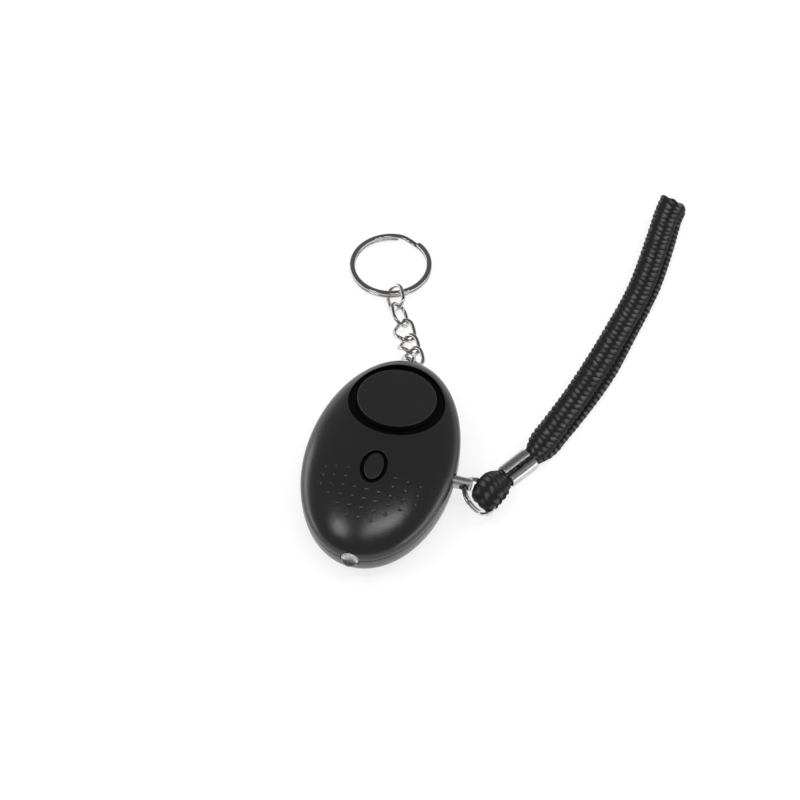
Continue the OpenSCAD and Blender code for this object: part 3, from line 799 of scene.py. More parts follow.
@dataclass
class Strap:
    """Flat braided strap, folded double, with its loop round the pin's ring and the crimp.

    Attributes:
        width: of the braid.
        thick: of the long run.
        loop_thick: of the loop.
        loop_roll: turn of the loop about its own line, in degrees.
        stitch: length of one yarn's step along the strap.
        columns: columns of yarns round the strap.
        first: shift of the columns from the middle of the face, in columns.
        slant: steps that a yarn climbs across its column.
        depth: height of a yarn above the gaps.
        around: points round the braid.
        exit_at: where the strap leaves the crimp; not used.
        crimp_at: middle of the crimp on the floor.
        crimp_head: heading of the crimp, in degrees.
        crimp_shift: of the crimp to its left.
        crimp_size: its length, width and height.
        crimp_sheet: thickness of its sheet.
        crimp_slot: how far the sheet's two edges stay from the middle of the slot.
        crimp_taper: share by which its ends are narrower than its middle.
        crimp_step: spacing of points along its sheet.
        route: rows of x, y, z, share of the width, heading and share of the roll.
        loop_route: the same for the loop.
    """

    width: float = 7.5
    thick: float = 2.1
    loop_thick: float = 1.8
    loop_roll: float = 16.0
    stitch: float = 1.87
    columns: int = 6
    first: float = 0.31
    slant: float = 0.45
    depth: float = 0.5
    around: int = 68
    exit_at: Point = (39.3, 15.45, 2.7)
    crimp_at: tuple[float, float] = (36.65, 11.55)
    crimp_head: float = 55.8
    crimp_shift: float = 0.6
    crimp_size: Point = (9.4, 6.9, 4.7)
    crimp_sheet: float = 0.5
    crimp_slot: tuple[float, float] = (0.05, 1.1)
    crimp_taper: float = 0.02
    crimp_step: float = 0.22
    route: tuple[tuple[float, ...], ...] = (
        (36.3, 12.05, 1.45, 0.62, 56, 0), (38.7, 15.7, 1.45, 0.64, 56, 0), (41.6, 20.65, 1.15, 1, 66, 0),
        (44.4, 27.2, 1.1, 1, 70, 0), (48.95, 38.95, 1.1, 1, 73, 0), (53.05, 51.65, 1.1, 1, 75, 0),
        (55.85, 64.85, 1.1, 1, 77, 0), (58.4, 77.2, 1.1, 1, 78, 0), (60.15, 88, 1.1, 1, 82, 0),
        (61.2, 102.5, 1.1, 1, 86, 0), (61.6, 112.5, 1.1, 1, 82, 0), (61.9, 117.6, 1.1, 1.12, 72, 0),
        (61.85, 118.6, 1.45, 1.15, 69, 0), (61.7, 119, 2.3, 1.16, 69, 0), (61.5, 118.6, 3.15, 1.16, 69, 0),
        (61.35, 117.6, 3.5, 1.14, 71, 0), (60.35, 112, 3.5, 1.03, 81, 0),
        (59.65, 102.6, 3.5, 1, 86, 0), (58.5, 88.3, 3.5, 1, 82, 0), (56.95, 77.5, 3.5, 1, 78, 0),
        (54.2, 65.25, 3.5, 1, 77, 0), (50.9, 52.2, 3.5, 1, 75, 0), (47.25, 39.45, 3.5, 1, 73, 0),
        (43.2, 27.55, 3.5, 1, 70, 0), (40.8, 20.9, 3.5, 1, 66, 0), (38.7, 15.7, 3.0, 0.64, 56, 0),
        (36.3, 12.05, 2.9, 0.62, 56, 0))
    loop_route: tuple[tuple[float, ...], ...] = (
        (36.0, 11.75, 1.45, 0.62, 236, 0), (33.6, 8.1, 1.5, 0.66, 236, 0),
        (32.3, 5.3, 1.75, 0.95, 240, 0.5), (31.0, 1.9, 1.95, 0.97, 240, 1),
        (29.85, -0.9, 2, 0.92, 240, 1), (29.25, -2.25, 2.9, 0.93, 240, 1),
        (29.0, -2.9, 4.6, 1.0, 240, 1), (29.45, -2.55, 6.4, 1.1, 240, 1),
        (30.15, -1.2, 7.5, 1.12, 240, 1), (30.85, 0.9, 7.6, 1.08, 240, 1),
        (31.7, 3.2, 6.6, 1.04, 240, 0.9), (32.55, 5.55, 4.7, 0.95, 240, 0.5),
        (33.6, 8.1, 3.1, 0.66, 236, 0), (36.0, 11.75, 2.9, 0.62, 236, 0))

    def section(self, thick: float) -> tuple[Array, Array]:
        """Outline of the braid, a rounded oblong with sides cos^0.5 and sin^0.7, at even spacing.

        Args:
            thick: the thickness.

        Returns:
            The points across and up, and their outward normals.
        """
        a = np.linspace(0.0, 2 * np.pi, 2001)
        outline = np.stack([0.5 * self.width * signed_power(np.cos(a), 0.5),
                            0.5 * thick * signed_power(np.sin(a), 0.7)], axis=1)
        length = lengths(outline)
        even = np.linspace(0.0, length[-1], self.around, endpoint=False)
        points = np.stack([np.interp(even, length, side) for side in outline.T], axis=1)
        along = np.roll(points, -1, axis=0) - np.roll(points, 1, axis=0)
        return points, unit(np.stack([along[:, 1], -along[:, 0]], axis=1))

    def braid(self, along: Array, around: Array) -> tuple[Array, Array, Array]:
        """Height of the braid: columns of leaning yarns, each a rounded bar that dives at both ends.

        Within a column the phase is the distance along in stitches plus the lean times the place
        across; the height is a rounded wave of the phase times an arch across the column. Two slow
        waves let each column wander, and a mixed sine gives each yarn its shade.

        Args:
            along: distance along the strap in millimetres.
            around: share of the way round the section.

        Returns:
            The height from 0 to 1, the place across the yarn's strands, and a shade for each yarn.
        """
        zigzag = 0.09 * np.sin(2 * np.pi * along / self.stitch)
        place = (around - 0.25) * self.columns + self.first + zigzag
        column = np.floor(place)
        across = place - column - 0.5
        lean = np.where(column % 2 == 0, Lean.LEFT.value, Lean.RIGHT.value)
        own = column % self.columns
        wander = (0.1 * np.sin(2 * np.pi * (along / 11.3 + 0.37 * own))
                  + 0.08 * np.sin(2 * np.pi * (along / 4.7 + 0.61 * own)))
        phase = along / self.stitch + lean * self.slant * across + 0.25 * lean + wander
        yarn = np.floor(phase)
        inner = phase - yarn
        mixed = np.sin(12.9898 * yarn + 78.233 * own) * 43758.5453
        shade = mixed - np.floor(mixed)
        arch = np.clip(np.cos(np.pi * across), 0.0, 1.0) ** 1.7
        height = np.sin(np.pi * inner) ** 0.55 * (0.12 + 0.88 * arch) * (0.85 + 0.15 * shade)
        return height, 4.0 * inner, shade

    def band(self, name: str, rows: Sequence[Sequence[float]], thick: float, roll: float,
             step: float) -> tuple[Piece, Array]:
        """Carry the section along a route and raise the braid on it.

        Args:
            name: the piece's name.
            rows: the route.
            thick: the braid's thickness.
            roll: turn about its own line, in degrees.
            step: spacing along the route.

        Returns:
            The piece, and its middle line in millimetres.
        """
        path = smooth_route(np.array(rows, float), step)
        line = path[:, :3]
        heading, lean = np.radians(path[:, 4]), np.radians(-roll * path[:, 5])
        level = np.cos(lean)
        side = np.stack([-np.sin(heading) * level, np.cos(heading) * level, np.sin(lean)], axis=1)
        up = unit(np.cross(unit(np.gradient(line, axis=0)), side))
        section, normal = self.section(thick)
        around = np.arange(self.around) / self.around
        height, thread, shade = self.braid(lengths(line)[:, None], around[None])
        lift = self.depth * (height - 0.55)
        wide = section[:, 0] * path[:, 3, None] + lift * normal[:, 0]
        high = section[:, 1] + lift * normal[:, 1]
        points = line[:, None] + wide[..., None] * side[:, None] + high[..., None] * up[:, None]
        # lift, the yarns' height, also sets the braid material's painted highlight on the tops and painted shade
        # in the gaps
        grids = {"lift": height, "thread": thread, "shade": shade}
        numbers = {key: np.append(grid, [0.0, 0.0]) for key, grid in grids.items()}
        patch = Patch(points, first=line[0], last=line[-1])
        return make_piece(name, [patch], sharp=80.0, numbers=numbers), line

    def crimp_line(self) -> Array:
        """Line of the crimp's sheet: an oval of power 2.7 whose two ends curl in at the slot.

        Returns:
            Points across and up, at an even spacing.
        """
        _, width, high = self.crimp_size
        half = 0.5 * self.crimp_sheet
        w, h, power = 0.5 * width - half, 0.5 * high - half, 2.0 / 2.7

        def lobe(edge: float) -> Array:
            """One side from its edge in the slot round to the bottom."""
            x = edge + half
            start = math.acos(((x + 0.75) / w) ** (1.0 / power))
            a = np.linspace(start, -0.96 * QUARTER, 12)
            up = 0.5 * high + h * signed_power(np.sin(a), power)
            curl = [(x - 0.05, up[0] - 1.1), (x, up[0] - 0.6), (x + 0.24, up[0] - 0.12)]
            return np.concatenate([curl, np.stack([w * np.cos(a) ** power, up], axis=1)])

        first, second = (lobe(edge) for edge in self.crimp_slot)
        knots = np.concatenate([first, second[::-1] * [-1.0, 1.0]])
        return smooth_route(raised(knots, 0.0), self.crimp_step)[:, :2]

    def crimp(self) -> Piece:
        """Sheet wrapped round the strap, carried along the crimp's length.

        The sheet is its line moved out and in by half the sheet's thickness along its normal. The
        thickness runs out in a quarter circle at the sheet's edges and at the crimp's two ends.

        Returns:
            The piece.
        """
        length = self.crimp_size[0]
        half = 0.5 * self.crimp_sheet
        line = self.crimp_line()
        ahead = unit(np.gradient(line, axis=0))
        out = np.stack([-ahead[:, 1], ahead[:, 0]], axis=1)
        ease = np.clip(np.arange(len(line)) * self.crimp_step / half, 0.0, 1.0)
        tip = np.sqrt(1 - (1 - np.minimum(ease, ease[::-1])) ** 2)
        a = np.linspace(0.0, QUARTER, 6)
        near = -0.5 * length + half * (1 - np.cos(a))
        middle = np.linspace(-0.5, 0.5, 15)[1:-1] * (length - 2 * half)
        place = np.concatenate([near, middle, -near[::-1]])
        share = np.concatenate([np.sin(a), np.ones_like(middle), np.sin(a[::-1])])
        offset = (half * share[:, None] * tip)[..., None] * out
        taper = 1.0 - self.crimp_taper * (2 * place / length) ** 2
        sheet = line * np.stack([taper, np.ones_like(taper)], axis=-1)[:, None]
        loop = np.concatenate([sheet + offset, (sheet - offset)[:, ::-1]], axis=1)
        axis, side = turn("Z", self.crimp_head).T[:2]
        points = (np.array([*self.crimp_at, 0.0]) + self.crimp_shift * side
                  + place[:, None, None] * axis + loop[..., :1] * side + loop[..., 1:] * Z)
        return make_piece("crimp_sheet", [Patch(points)], merge=0.004, sharp=50.0)

    def build(self, braid: Material, folded: Material, metal: Material) -> None:
        """Args:
            braid: finish of the strap.
            folded: finish of the loop.
            metal: finish of the crimp.
        """
        strap, line = self.band("braided_strap", self.route, self.thick, 0.0, 0.21)
        loop, _ = self.band("braided_loop", self.loop_route, self.loop_thick, self.loop_roll, 0.2)
        crimp = self.crimp()
        dress(strap, braid, "strap", ["wrist_strap"])
        dress(loop, folded, "strap", ["strap_loop"])
        dress(crimp, metal, "strap", ["strap_crimp"])


# Rings and chain

@dataclass
class SplitRing:
    """Flat wire wound twice round with one step.

    Attributes:
        name: the piece's name.
        outside: outside diameter.
        thick: radial thickness of the wire.
        high: height of the two turns.
        gap: between the turns.
        step: half the angle of the step, in degrees.
        short: angle by which each end stops short of the step, in degrees.
        rows: sections along the wire.
        rounded: rows over which its ends are rounded.
    """

    name: str
    outside: float
    thick: float
    high: float
    gap: float = 0.12
    step: float = 14.0
    short: float = 2.0
    rows: int = 420
    rounded: float = 3.0

    @property
    def radius(self) -> float:
        """Radius of the middle line."""
        return 0.5 * (self.outside - self.thick)

    def build(self, place: Array, turned: Array) -> Piece:
        """Carry a rounded oblong round two turns, whose height steps up once by a smooth step.

        Args:
            place: the ring's middle.
            turned: its three axes as a matrix.

        Returns:
            The piece.
        """
        tall = 0.5 * (self.high - self.gap)
        b = circle(28)
        across = 0.5 * self.thick * signed_power(np.cos(b), 0.8)
        up = 0.5 * tall * signed_power(np.sin(b), 0.8)
        start = self.step + self.short
        degrees = np.linspace(start, 720 - start, self.rows)[:, None]
        x = np.clip((degrees - 360 + self.step) / (2 * self.step), 0.0, 1.0)
        level = (x * x * (3 - 2 * x) - 0.5) * (tall + self.gap)
        a = np.radians(degrees)
        row = np.arange(self.rows)[:, None]
        end = np.clip((np.minimum(row, row[::-1]) + 0.4) / self.rounded, 0, 1)
        full = np.sqrt(1 - (1 - end) ** 2)
        radius = self.radius + across * full
        points = np.stack([radius * np.cos(a), radius * np.sin(a), level + up * full], axis=-1)
        points = points @ turned.T + place
        first, last = points[[0, -1]].mean(axis=1)
        return make_piece(self.name, [Patch(points, first=first, last=last)], merge=SEAL)


@dataclass
class Chain:
    """Wire eye, five twisted links and the key ring.

    Attributes:
        wire: wire diameter of the eye and the links.
        inner: inner length of a link.
        inner_w: inner width of a link.
        play: between two links.
        heading: of the chain from the case's line, towards -X, in degrees.
        dips: how far each link slopes down, in degrees.
        twists: slope of each link's two ends across its length, in degrees.
        eye_y: reach of the eye.
        eye_r: half the distance between its legs.
        eye_foot: where its legs start.
        part_z: height of the case's parting line.
        ring_size: outside diameter, thickness and height of the key ring.
        ring_lift: slope of the key ring, in degrees.
        ring_slack: how far it lies back from the end of the last link.
        ring_turn: its turn from the chain's heading, in degrees.
        ring_step: where on the ring its step lies, in degrees.
    """

    wire: float = 1.2
    inner: float = 6.85
    inner_w: float = 4.5
    play: float = 0.15
    heading: float = 26.0
    dips: tuple[float, ...] = (29.0, 21.0, 10.0, 2.0, 0.0)
    twists: tuple[tuple[float, float], ...] = ((45, -45), (45, -55), (31, -45), (45, 45), (-45, -45))
    eye_y: float = 34.9
    eye_r: float = 1.8
    eye_foot: float = 29.15
    part_z: float = 10.6
    ring_size: Point = (25.0, 1.65, 2.1)
    ring_lift: float = 3.5
    ring_slack: float = 1.3
    ring_turn: float = -5.0
    ring_step: float = -34.0

    def direction(self, dip: float) -> Array:
        """The chain's heading, sloping down by an angle in degrees."""
        h, d = math.radians(self.heading), math.radians(dip)
        return np.array([-math.sin(h) * math.cos(d), math.cos(h) * math.cos(d), -math.sin(d)])

    def start(self, i: int) -> Array:
        """Near end of link i: inside the eye, or inside the link before.

        Args:
            i: which link.

        Returns:
            The point.
        """
        first = np.array([0.0, self.eye_y, self.part_z]) - (self.wire + self.play) * self.direction(0.0)
        steps = [(self.inner - self.play) * self.direction(dip) for dip in self.dips[:i]]
        return first + sum(steps, np.zeros(3))

    def link(self, i: int) -> Piece:
        """A wire carried round a racetrack that is twisted about its long axis from end to end.

        Args:
            i: which link.

        Returns:
            The piece.
        """
        half, r = 0.5 * (self.inner + self.wire), 0.5 * (self.inner_w + self.wire)
        flat, arc = half - r, QUARTER * r
        whole = 4 * flat + 4 * arc
        one, other = self.twists[i]

        def track(length: Array) -> Array:
            """Points of the racetrack by length, twisted about its long axis."""
            f = np.mod(length, whole)
            sign = np.where(f < 0.5 * whole, 1.0, -1.0)
            f = np.mod(f, 0.5 * whole)
            near, far = f / r, QUARTER + (f - arc - 2 * flat) / r
            bend, straight = f < arc, f < arc + 2 * flat
            x = np.where(bend, flat + r * np.cos(near),
                         np.where(straight, flat + arc - f, r * np.cos(far) - flat)) * sign
            y = np.where(bend, r * np.sin(near), np.where(straight, r, r * np.sin(far))) * sign
            twist = np.radians(0.5 * (one + other + (other - one) * x / half))
            return np.stack([x, y * np.cos(twist), y * np.sin(twist)], axis=-1)

        s = whole * np.linspace(0.0, 1.0, 120, endpoint=False)
        line = track(s)
        ahead = unit(track(s + 0.05) - track(s - 0.05))
        up = unit(np.cross(ahead, unit(line * np.array([0.25, 1.0, 1.0]))))
        points = tube(line, np.cross(up, ahead), up, 0.5 * self.wire, 20)
        turned = turn("Z", 90 + self.heading) @ turn("Y", self.dips[i])
        points = (points + half * X) @ turned.T + self.start(i)
        return make_piece(f"twisted_link_{i + 1}", [Patch(points, loop=True, flip=True)])

    def eye(self) -> Piece:
        """A wire bent to a U that stands in the case's end: straight, half circle, straight.

        Returns:
            The piece.
        """
        a = np.radians(np.linspace(-90, 90, 49))
        bend = self.eye_y - self.eye_r
        leg = np.linspace(self.eye_foot, bend, 12)[:-1]
        y = np.concatenate([leg, bend + self.eye_r * np.cos(a), leg[::-1]])
        z = self.eye_r * np.concatenate([-np.ones_like(leg), np.sin(a), np.ones_like(leg)])
        line = np.stack([np.zeros_like(y), y, self.part_z + z], axis=1)
        side = np.broadcast_to(X, line.shape)
        up = np.cross(unit(np.gradient(line, axis=0)), side)
        points = tube(line, side, up, 0.5 * self.wire, 24)
        return make_piece("wire_eye", [Patch(points, first=line[0], last=line[-1])])

    def build(self, metal: Material) -> None:
        """Make the eye, the links and the key ring.

        Args:
            metal: finish of the chain.
        """
        dress(self.eye(), metal, "case", ["chain_eye"])
        for i in range(len(self.dips)):
            dress(self.link(i), metal, f"link_{i + 1}", [f"chain_link_{i + 1}"])
        ring = SplitRing("key_split_ring", *self.ring_size)
        last = len(self.dips) - 1
        reach = self.inner + 0.5 * self.wire - 0.5 * ring.thick - self.ring_slack
        turned = turn("Z", 90 + self.heading + self.ring_turn) @ turn("Y", self.ring_lift)
        middle = self.start(last) + reach * self.direction(self.dips[last]) + turned @ (ring.radius * X)
        piece = ring.build(middle, turned @ turn("Z", self.ring_step))
        dress(piece, metal, "key_ring", ["key_ring"])


# Case

@dataclass
class Case:
    """Egg-shaped case: a front shell with the siren's well and the button's moat, and a rear shell.

    Attributes:
        width: across the pin.
        length: from the torch to the chain.
        part_z: height of the parting line.
        rise: of the front shell.
        crown: share of the rise that is a soft crown.
        front_power: roundness of the front shell's edge.
        rear_power: roundness of the rear shell's edge.
        back_flat: share of the outline that is flat on the back.
        egg: how much narrower the chain end is.
        wall: thickness of the front shell.
        rear_wall: thickness of the rear shell's side.
        floor: thickness of the rear shell's back.
        seam: half the gap between the shells.
        edge: rounding of both shells at the seam.
        band: share of the outline where the front's rim band starts.
        cap_at: middle of the cap's face.
        cap_tilt: slope of the cap's face, in degrees.
        well_r: radius of the well round the cap.
        well_depth: of the well below the cap's face.
        well_floor: thickness of the well's floor.
        well_round: rounding of the well's rim.
        well_fill: fillet at the well's floor.
        button_y: middle of the button.
        button_half: half its width and half its length.
        button_gap: round the button.
        moat: width of the moat round the button.
        moat_z: height of the moat's floor.
        moat_round: rounding of the moat's rim.
        moat_fill: fillet at the moat's floor.
        lip: rounding of the tunnel's mouth in the moat.
        tunnel_drop: from the moat's floor to where the tunnel is straight.
        pad_z: height of the tunnel's lower end.
        pad_rim: width of the pad round the tunnel, inside.
        pin_y: place of the pin's opening.
        pin_hole: radius of the pin's opening.
        pin_arc: angles of the outline at the pin's opening, in degrees.
        lamp_hole: radius of the lamp's opening.
        lamp_arc: angles of the outline at the lamp's opening, in degrees.
        dimple: radius and depth of a grip dimple.
        dimple_y: middle of the first row of dimples.
        dimple_pitch: of the columns and of the rows of dimples.
        screw_spots: places of the screws.
        screw_well: radius, lower and upper end of the holes for the screws' heads.
        sleeve: radius and height of a screw's sleeve, round its section.
    """

    width: float = 42.0
    length: float = 65.5
    part_z: float = 10.6
    rise: float = 9.2
    crown: float = 4.5
    front_power: float = 3.75
    rear_power: float = 2.8
    back_flat: float = 0.53
    egg: float = 0.028
    wall: float = 1.6
    rear_wall: float = 2.6
    floor: float = 1.6
    seam: float = 0.06
    edge: float = 0.24
    band: float = 0.935
    cap_at: Point = (0.0, 16.0, 18.05)
    cap_tilt: float = 11.0
    well_r: float = 13.5
    well_depth: float = 2.6
    well_floor: float = 1.6
    well_round: float = 0.1
    well_fill: float = 0.45
    button_y: float = -7.8
    button_half: tuple[float, float] = (2.6, 4.2)
    button_gap: float = 0.2
    moat: float = 1.1
    moat_z: float = 18.5
    moat_round: float = 0.25
    moat_fill: float = 0.2
    lip: float = 0.15
    tunnel_drop: float = 0.6
    pad_z: float = 17.0
    pad_rim: float = 2.5
    pin_y: float = -1.9
    pin_hole: float = 2.2
    pin_arc: tuple[float, float] = (-8.5, 2.0)
    lamp_hole: float = 2.58
    lamp_arc: tuple[float, float] = (260.5, 279.5)
    dimple: tuple[float, float] = (0.6, 0.1)
    dimple_y: float = -10.2
    dimple_pitch: tuple[float, float] = (3.3, 2.58)
    screw_spots: tuple[tuple[float, float], ...] = (
        (-12.9, -12.5), (12.9, -12.5), (-13.8, 8.5), (13.8, 8.5))
    screw_well: Point = (2.1, -2.0, 2.4)
    sleeve: tuple[tuple[float, float], ...] = (
        (2.1, 1.3), (3.0, 1.9), (3.0, 11.2), (1.15, 11.2), (1.15, 4.05), (2.1, 4.05))

    def outline(self, t: Array, share: Number = 1.0, inset: Number = 0.0) -> Array:
        """Egg outline: an ellipse whose width shrinks by egg times the sine, scaled and drawn in.

        Args:
            t: angles round the outline.
            share: scale about the middle.
            inset: how far it is drawn in.

        Returns:
            Points of the plane.
        """
        x = (0.5 * self.width - inset) * share * np.cos(t) * (1 - self.egg * np.sin(t))
        y = (0.5 * self.length - inset) * share * np.sin(t)
        return np.stack(np.broadcast_arrays(x, y), axis=-1)

    def front_height(self, share: Array, inset: float = 0.0) -> Array:
        """Height of the front shell at a share of the outline: a superellipse plus a parabola.

        Args:
            share: of the outline.
            inset: how far the surface is drawn in.

        Returns:
            The height.
        """
        p = self.front_power
        bulge = np.clip(1 - share ** p, 0.0, 1.0) ** (1 / p)
        return self.part_z + (self.rise - inset - self.crown) * bulge + self.crown * (1 - share ** 2)

    def dome(self, xy: Array, inset: float = 0.0) -> Array:
        """Height of the front shell over a point, whose share of the outline is found by iteration.

        Args:
            xy: points of the plane.
            inset: how far the surface is drawn in.

        Returns:
            The heights.
        """
        tiny = 1e-9
        x = xy[..., 0] / (0.5 * self.width - inset)
        y = xy[..., 1] / (0.5 * self.length - inset)
        share = np.hypot(x, y) + tiny
        for _ in range(12):
            share = np.sqrt(y ** 2 + (x / (1 - self.egg * y / share)) ** 2) + tiny
        return self.front_height(np.clip(share, 0.0, 1.0), inset)

    def lift(self, xy: Array) -> Array:
        """Points of the plane raised onto the front shell."""
        return raised(xy, self.dome(xy))

    def columns(self) -> Array:
        """Angles round the outline in radians, closer together at the openings on the seam.

        Returns:
            The angles, from 0 up.
        """
        (pin, pin_end), (lamp, lamp_end), fine = self.pin_arc, self.lamp_arc, 0.25
        base = np.linspace(0.0, 360.0, 160, endpoint=False)
        base = base[(base > pin_end) & (base < 360 + pin) & ((base < lamp) | (base > lamp_end))]
        at_pin = np.mod(np.arange(pin, pin_end + 0.01, fine), 360.0)
        at_lamp = np.arange(lamp, lamp_end + 0.01, fine)
        return np.radians(np.unique(np.round(np.concatenate([base, at_pin, at_lamp]), 6)))

    def opening(self, t: Array) -> Array:
        """Half circles of the pin's and the lamp's openings.

        Args:
            t: angles round the outline.

        Returns:
            Their height above the seam at each angle.
        """
        xy = self.outline(t)
        pin = np.where(xy[:, 0] > 0, self.pin_hole ** 2 - (xy[:, 1] - self.pin_y) ** 2, 0.0)
        lamp = np.where(xy[:, 1] < 0, self.lamp_hole ** 2 - xy[:, 0] ** 2, 0.0)
        return np.sqrt(np.clip(np.maximum(pin, lamp), 0.0, None))

    def front_band(self, t: Array, low: Array, inset: float) -> tuple[Array, Array]:
        """Rim of the front shell from the band's share down to a height.

        Args:
            t: angles round the outline.
            low: the height at each angle.
            inset: how far the surface is drawn in.

        Returns:
            Rows of points from top to bottom, and the share at the lowest row.
        """
        p = self.front_power
        top = math.acos(self.band ** (p / 2))
        angles = top * np.linspace(0.0, 1.0, 400) ** 2
        least = np.interp(low, self.front_height(np.cos(angles) ** (2 / p), inset), angles)
        down = np.linspace(1.0, 0.0, 18)[:, None] ** 1.9
        share = np.cos(least + (top - least) * down) ** (2 / p)
        xy = self.outline(t[None, :], share, inset)
        return raised(xy, self.front_height(share, inset)), share[-1]

    def seam_edge(self, t: Array, share: Array, low: Array, up: float) -> Array:
        """Quarter circle from a shell's side in to the seam.

        Args:
            t: angles round the outline.
            share: of the outline where the side ends.
            low: the height where it ends.
            up: which way the seam lies, 1 or -1.

        Returns:
            Rows of points, without the side's own.
        """
        a = np.linspace(0.0, QUARTER, 7)[1:, None]
        xy = self.outline(t[None], share[None], self.edge * (1 - np.cos(a)))
        return raised(xy, low[None] + up * self.edge * np.sin(a))

    def half_loop(self, t: Array, upper: bool, inset: float) -> Array:
        """Loop round one half of the front: along the band's edge, then back across the middle.

        Args:
            t: all angles round the outline.
            upper: the half with the siren, else the half with the button.
            inset: how far the surface is drawn in.

        Returns:
            Points of the plane.
        """
        degrees = np.degrees(t)
        arc = degrees[degrees <= 180.001] if upper else np.append(degrees[degrees >= 179.999], 360.0)
        rim = self.outline(np.radians(arc), self.band, inset)
        reach = math.atan2(rim[0, 0] if upper else rim[-1, 0], self.cap_at[1])
        x = self.cap_at[1] * np.tan(np.linspace(-reach, reach, 52)[1:-1])
        x = x if upper else x[::-1]
        return np.concatenate([rim, np.stack([x, np.zeros_like(x)], axis=1)])

    def cap_frame(self) -> tuple[Array, Array, Array, Array]:
        """Middle of the cap's face and its three axes."""
        ex, ey, ez = turn("X", -self.cap_tilt).T
        return np.array(self.cap_at), ex, ey, ez

    def oval(self, loop: Array, grow: Number) -> Array:
        """Oval round the button at a distance from it, with a point towards each point of a loop.

        Args:
            loop: points of the plane.
            grow: the distance.

        Returns:
            Points of the plane.
        """
        a, b = self.button_half
        eta = np.arctan2((loop[:, 1] - self.button_y) / b, loop[:, 0] / a)
        sides = ((a + grow) * np.cos(eta), self.button_y + (b + grow) * np.sin(eta))
        return np.stack(np.broadcast_arrays(*sides), axis=-1)

    def well(self, loop: Array) -> Patch:
        """Upper half of the front: dome, rounded rim, and a tilted well down to its floor.

        The rim is where a tilted cylinder meets the dome, found by halving; it is rounded by a
        quadratic curve from the dome to the wall.

        Args:
            loop: the half's outer edge.

        Returns:
            The surface, closed by a pole in the well's floor.
        """
        middle, ex, ey, ez = self.cap_frame()
        phi = np.arctan2(loop[:, 1] - middle[1], loop[:, 0])[:, None]
        spoke = np.cos(phi) * ex + np.sin(phi) * ey

        def meet(radius: float) -> Array:
            """Height along the cap's axis at which a cylinder of that radius leaves the dome."""
            low, high = np.full(len(phi), -9.0), np.full(len(phi), 9.0)
            for _ in range(44):
                half = 0.5 * (low + high)
                point = middle + radius * spoke + half[:, None] * ez
                above = point[:, 2] > self.dome(point[:, :2])
                low, high = np.where(above, low, half), np.where(above, half, high)
            return 0.5 * (low + high)

        r, soft, fill, depth = self.well_r, self.well_round, self.well_fill, self.well_depth
        outer = middle + (r + soft) * spoke + meet(r + soft)[:, None] * ez
        brim = meet(r)
        corner = middle + r * spoke + brim[:, None] * ez
        inner = corner - soft * ez
        v = np.linspace(1.0, 0.0, 16)[:, None, None]
        dome = self.lift((1 - v) * outer[None, :, :2] + v * loop[None])
        rim = softened(outer, corner, inner, 8)
        drop = np.linspace(0.0, 1.0, 5)[1:, None] * (brim - soft + depth - fill)[None]
        wall = inner[None] - drop[..., None] * ez
        a = np.linspace(0.0, QUARTER, 8)[1:, None, None]
        fillet = middle + (r - fill * (1 - np.cos(a))) * spoke - (depth - fill + fill * np.sin(a)) * ez
        k = np.linspace(1.0, 0.15, 6)[1:, None, None]
        floor = middle + k * (r - fill) * spoke - depth * ez
        return Patch(np.concatenate([dome, rim, wall, fillet, floor]), last=middle - depth * ez)

    def moat_side(self, loop: Array) -> Patch:
        """Lower half of the front: dome, rounded rim, the moat round the button and its tunnel.

        The moat is narrower and its rim softer on the siren's side, by the square of the sine.

        Args:
            loop: the half's outer edge.

        Returns:
            The surface, open at the tunnel's lower end.
        """
        a, b = self.button_half
        eta = np.arctan2((loop[:, 1] - self.button_y) / b, loop[:, 0] / a)
        far = np.clip(np.sin(eta), 0.0, 1.0) ** 2
        moat, soft = self.moat - 0.5 * far, self.moat_round * (0.6 + 0.8 * far)
        gap, fill, lip, floor = self.button_gap, self.moat_fill, self.lip, self.moat_z
        outer = self.lift(self.oval(loop, moat + soft))
        corner = self.lift(self.oval(loop, moat))
        inner = corner - soft[:, None] * Z
        v = np.linspace(1.0, 0.0, 22)[:, None, None]
        dome = self.lift((1 - v) * outer[None, :, :2] + v * loop[None])
        rim = softened(outer, corner, inner, 7)
        q = np.linspace(0.0, QUARTER, 8)[:, None]
        down = np.linspace(floor - self.tunnel_drop, self.pad_z, 3)[:, None]
        levels = [(moat - fill * (1 - np.cos(q)), floor + fill * (1 - np.sin(q))),
                  (gap + lip * (1 - np.sin(q)), floor - lip * (1 - np.cos(q))),
                  (gap + 0.0 * down, down)]
        sunk = [raised(self.oval(loop, grow), z) for grow, z in levels]
        return Patch(np.concatenate([dome, rim, *sunk]))

    def ceiling(self, xy: Array) -> Array:
        """Inside of the front shell: the dome drawn in, cut by the plane under the well's floor.

        Args:
            xy: points of the plane.

        Returns:
            The heights; round the button's tunnel, that of its pad.
        """
        slope = math.radians(self.cap_tilt)
        plane = (self.cap_at[2] - (xy[..., 1] - self.cap_at[1]) * math.tan(slope)
                 - (self.well_depth + self.well_floor) / math.cos(slope))
        a, b = (half + self.pad_rim for half in self.button_half)
        pad = np.hypot(xy[..., 0] / a, (xy[..., 1] - self.button_y) / b) < 1.0
        return np.where(pad, self.pad_z, np.minimum(self.dome(xy, self.wall), plane))

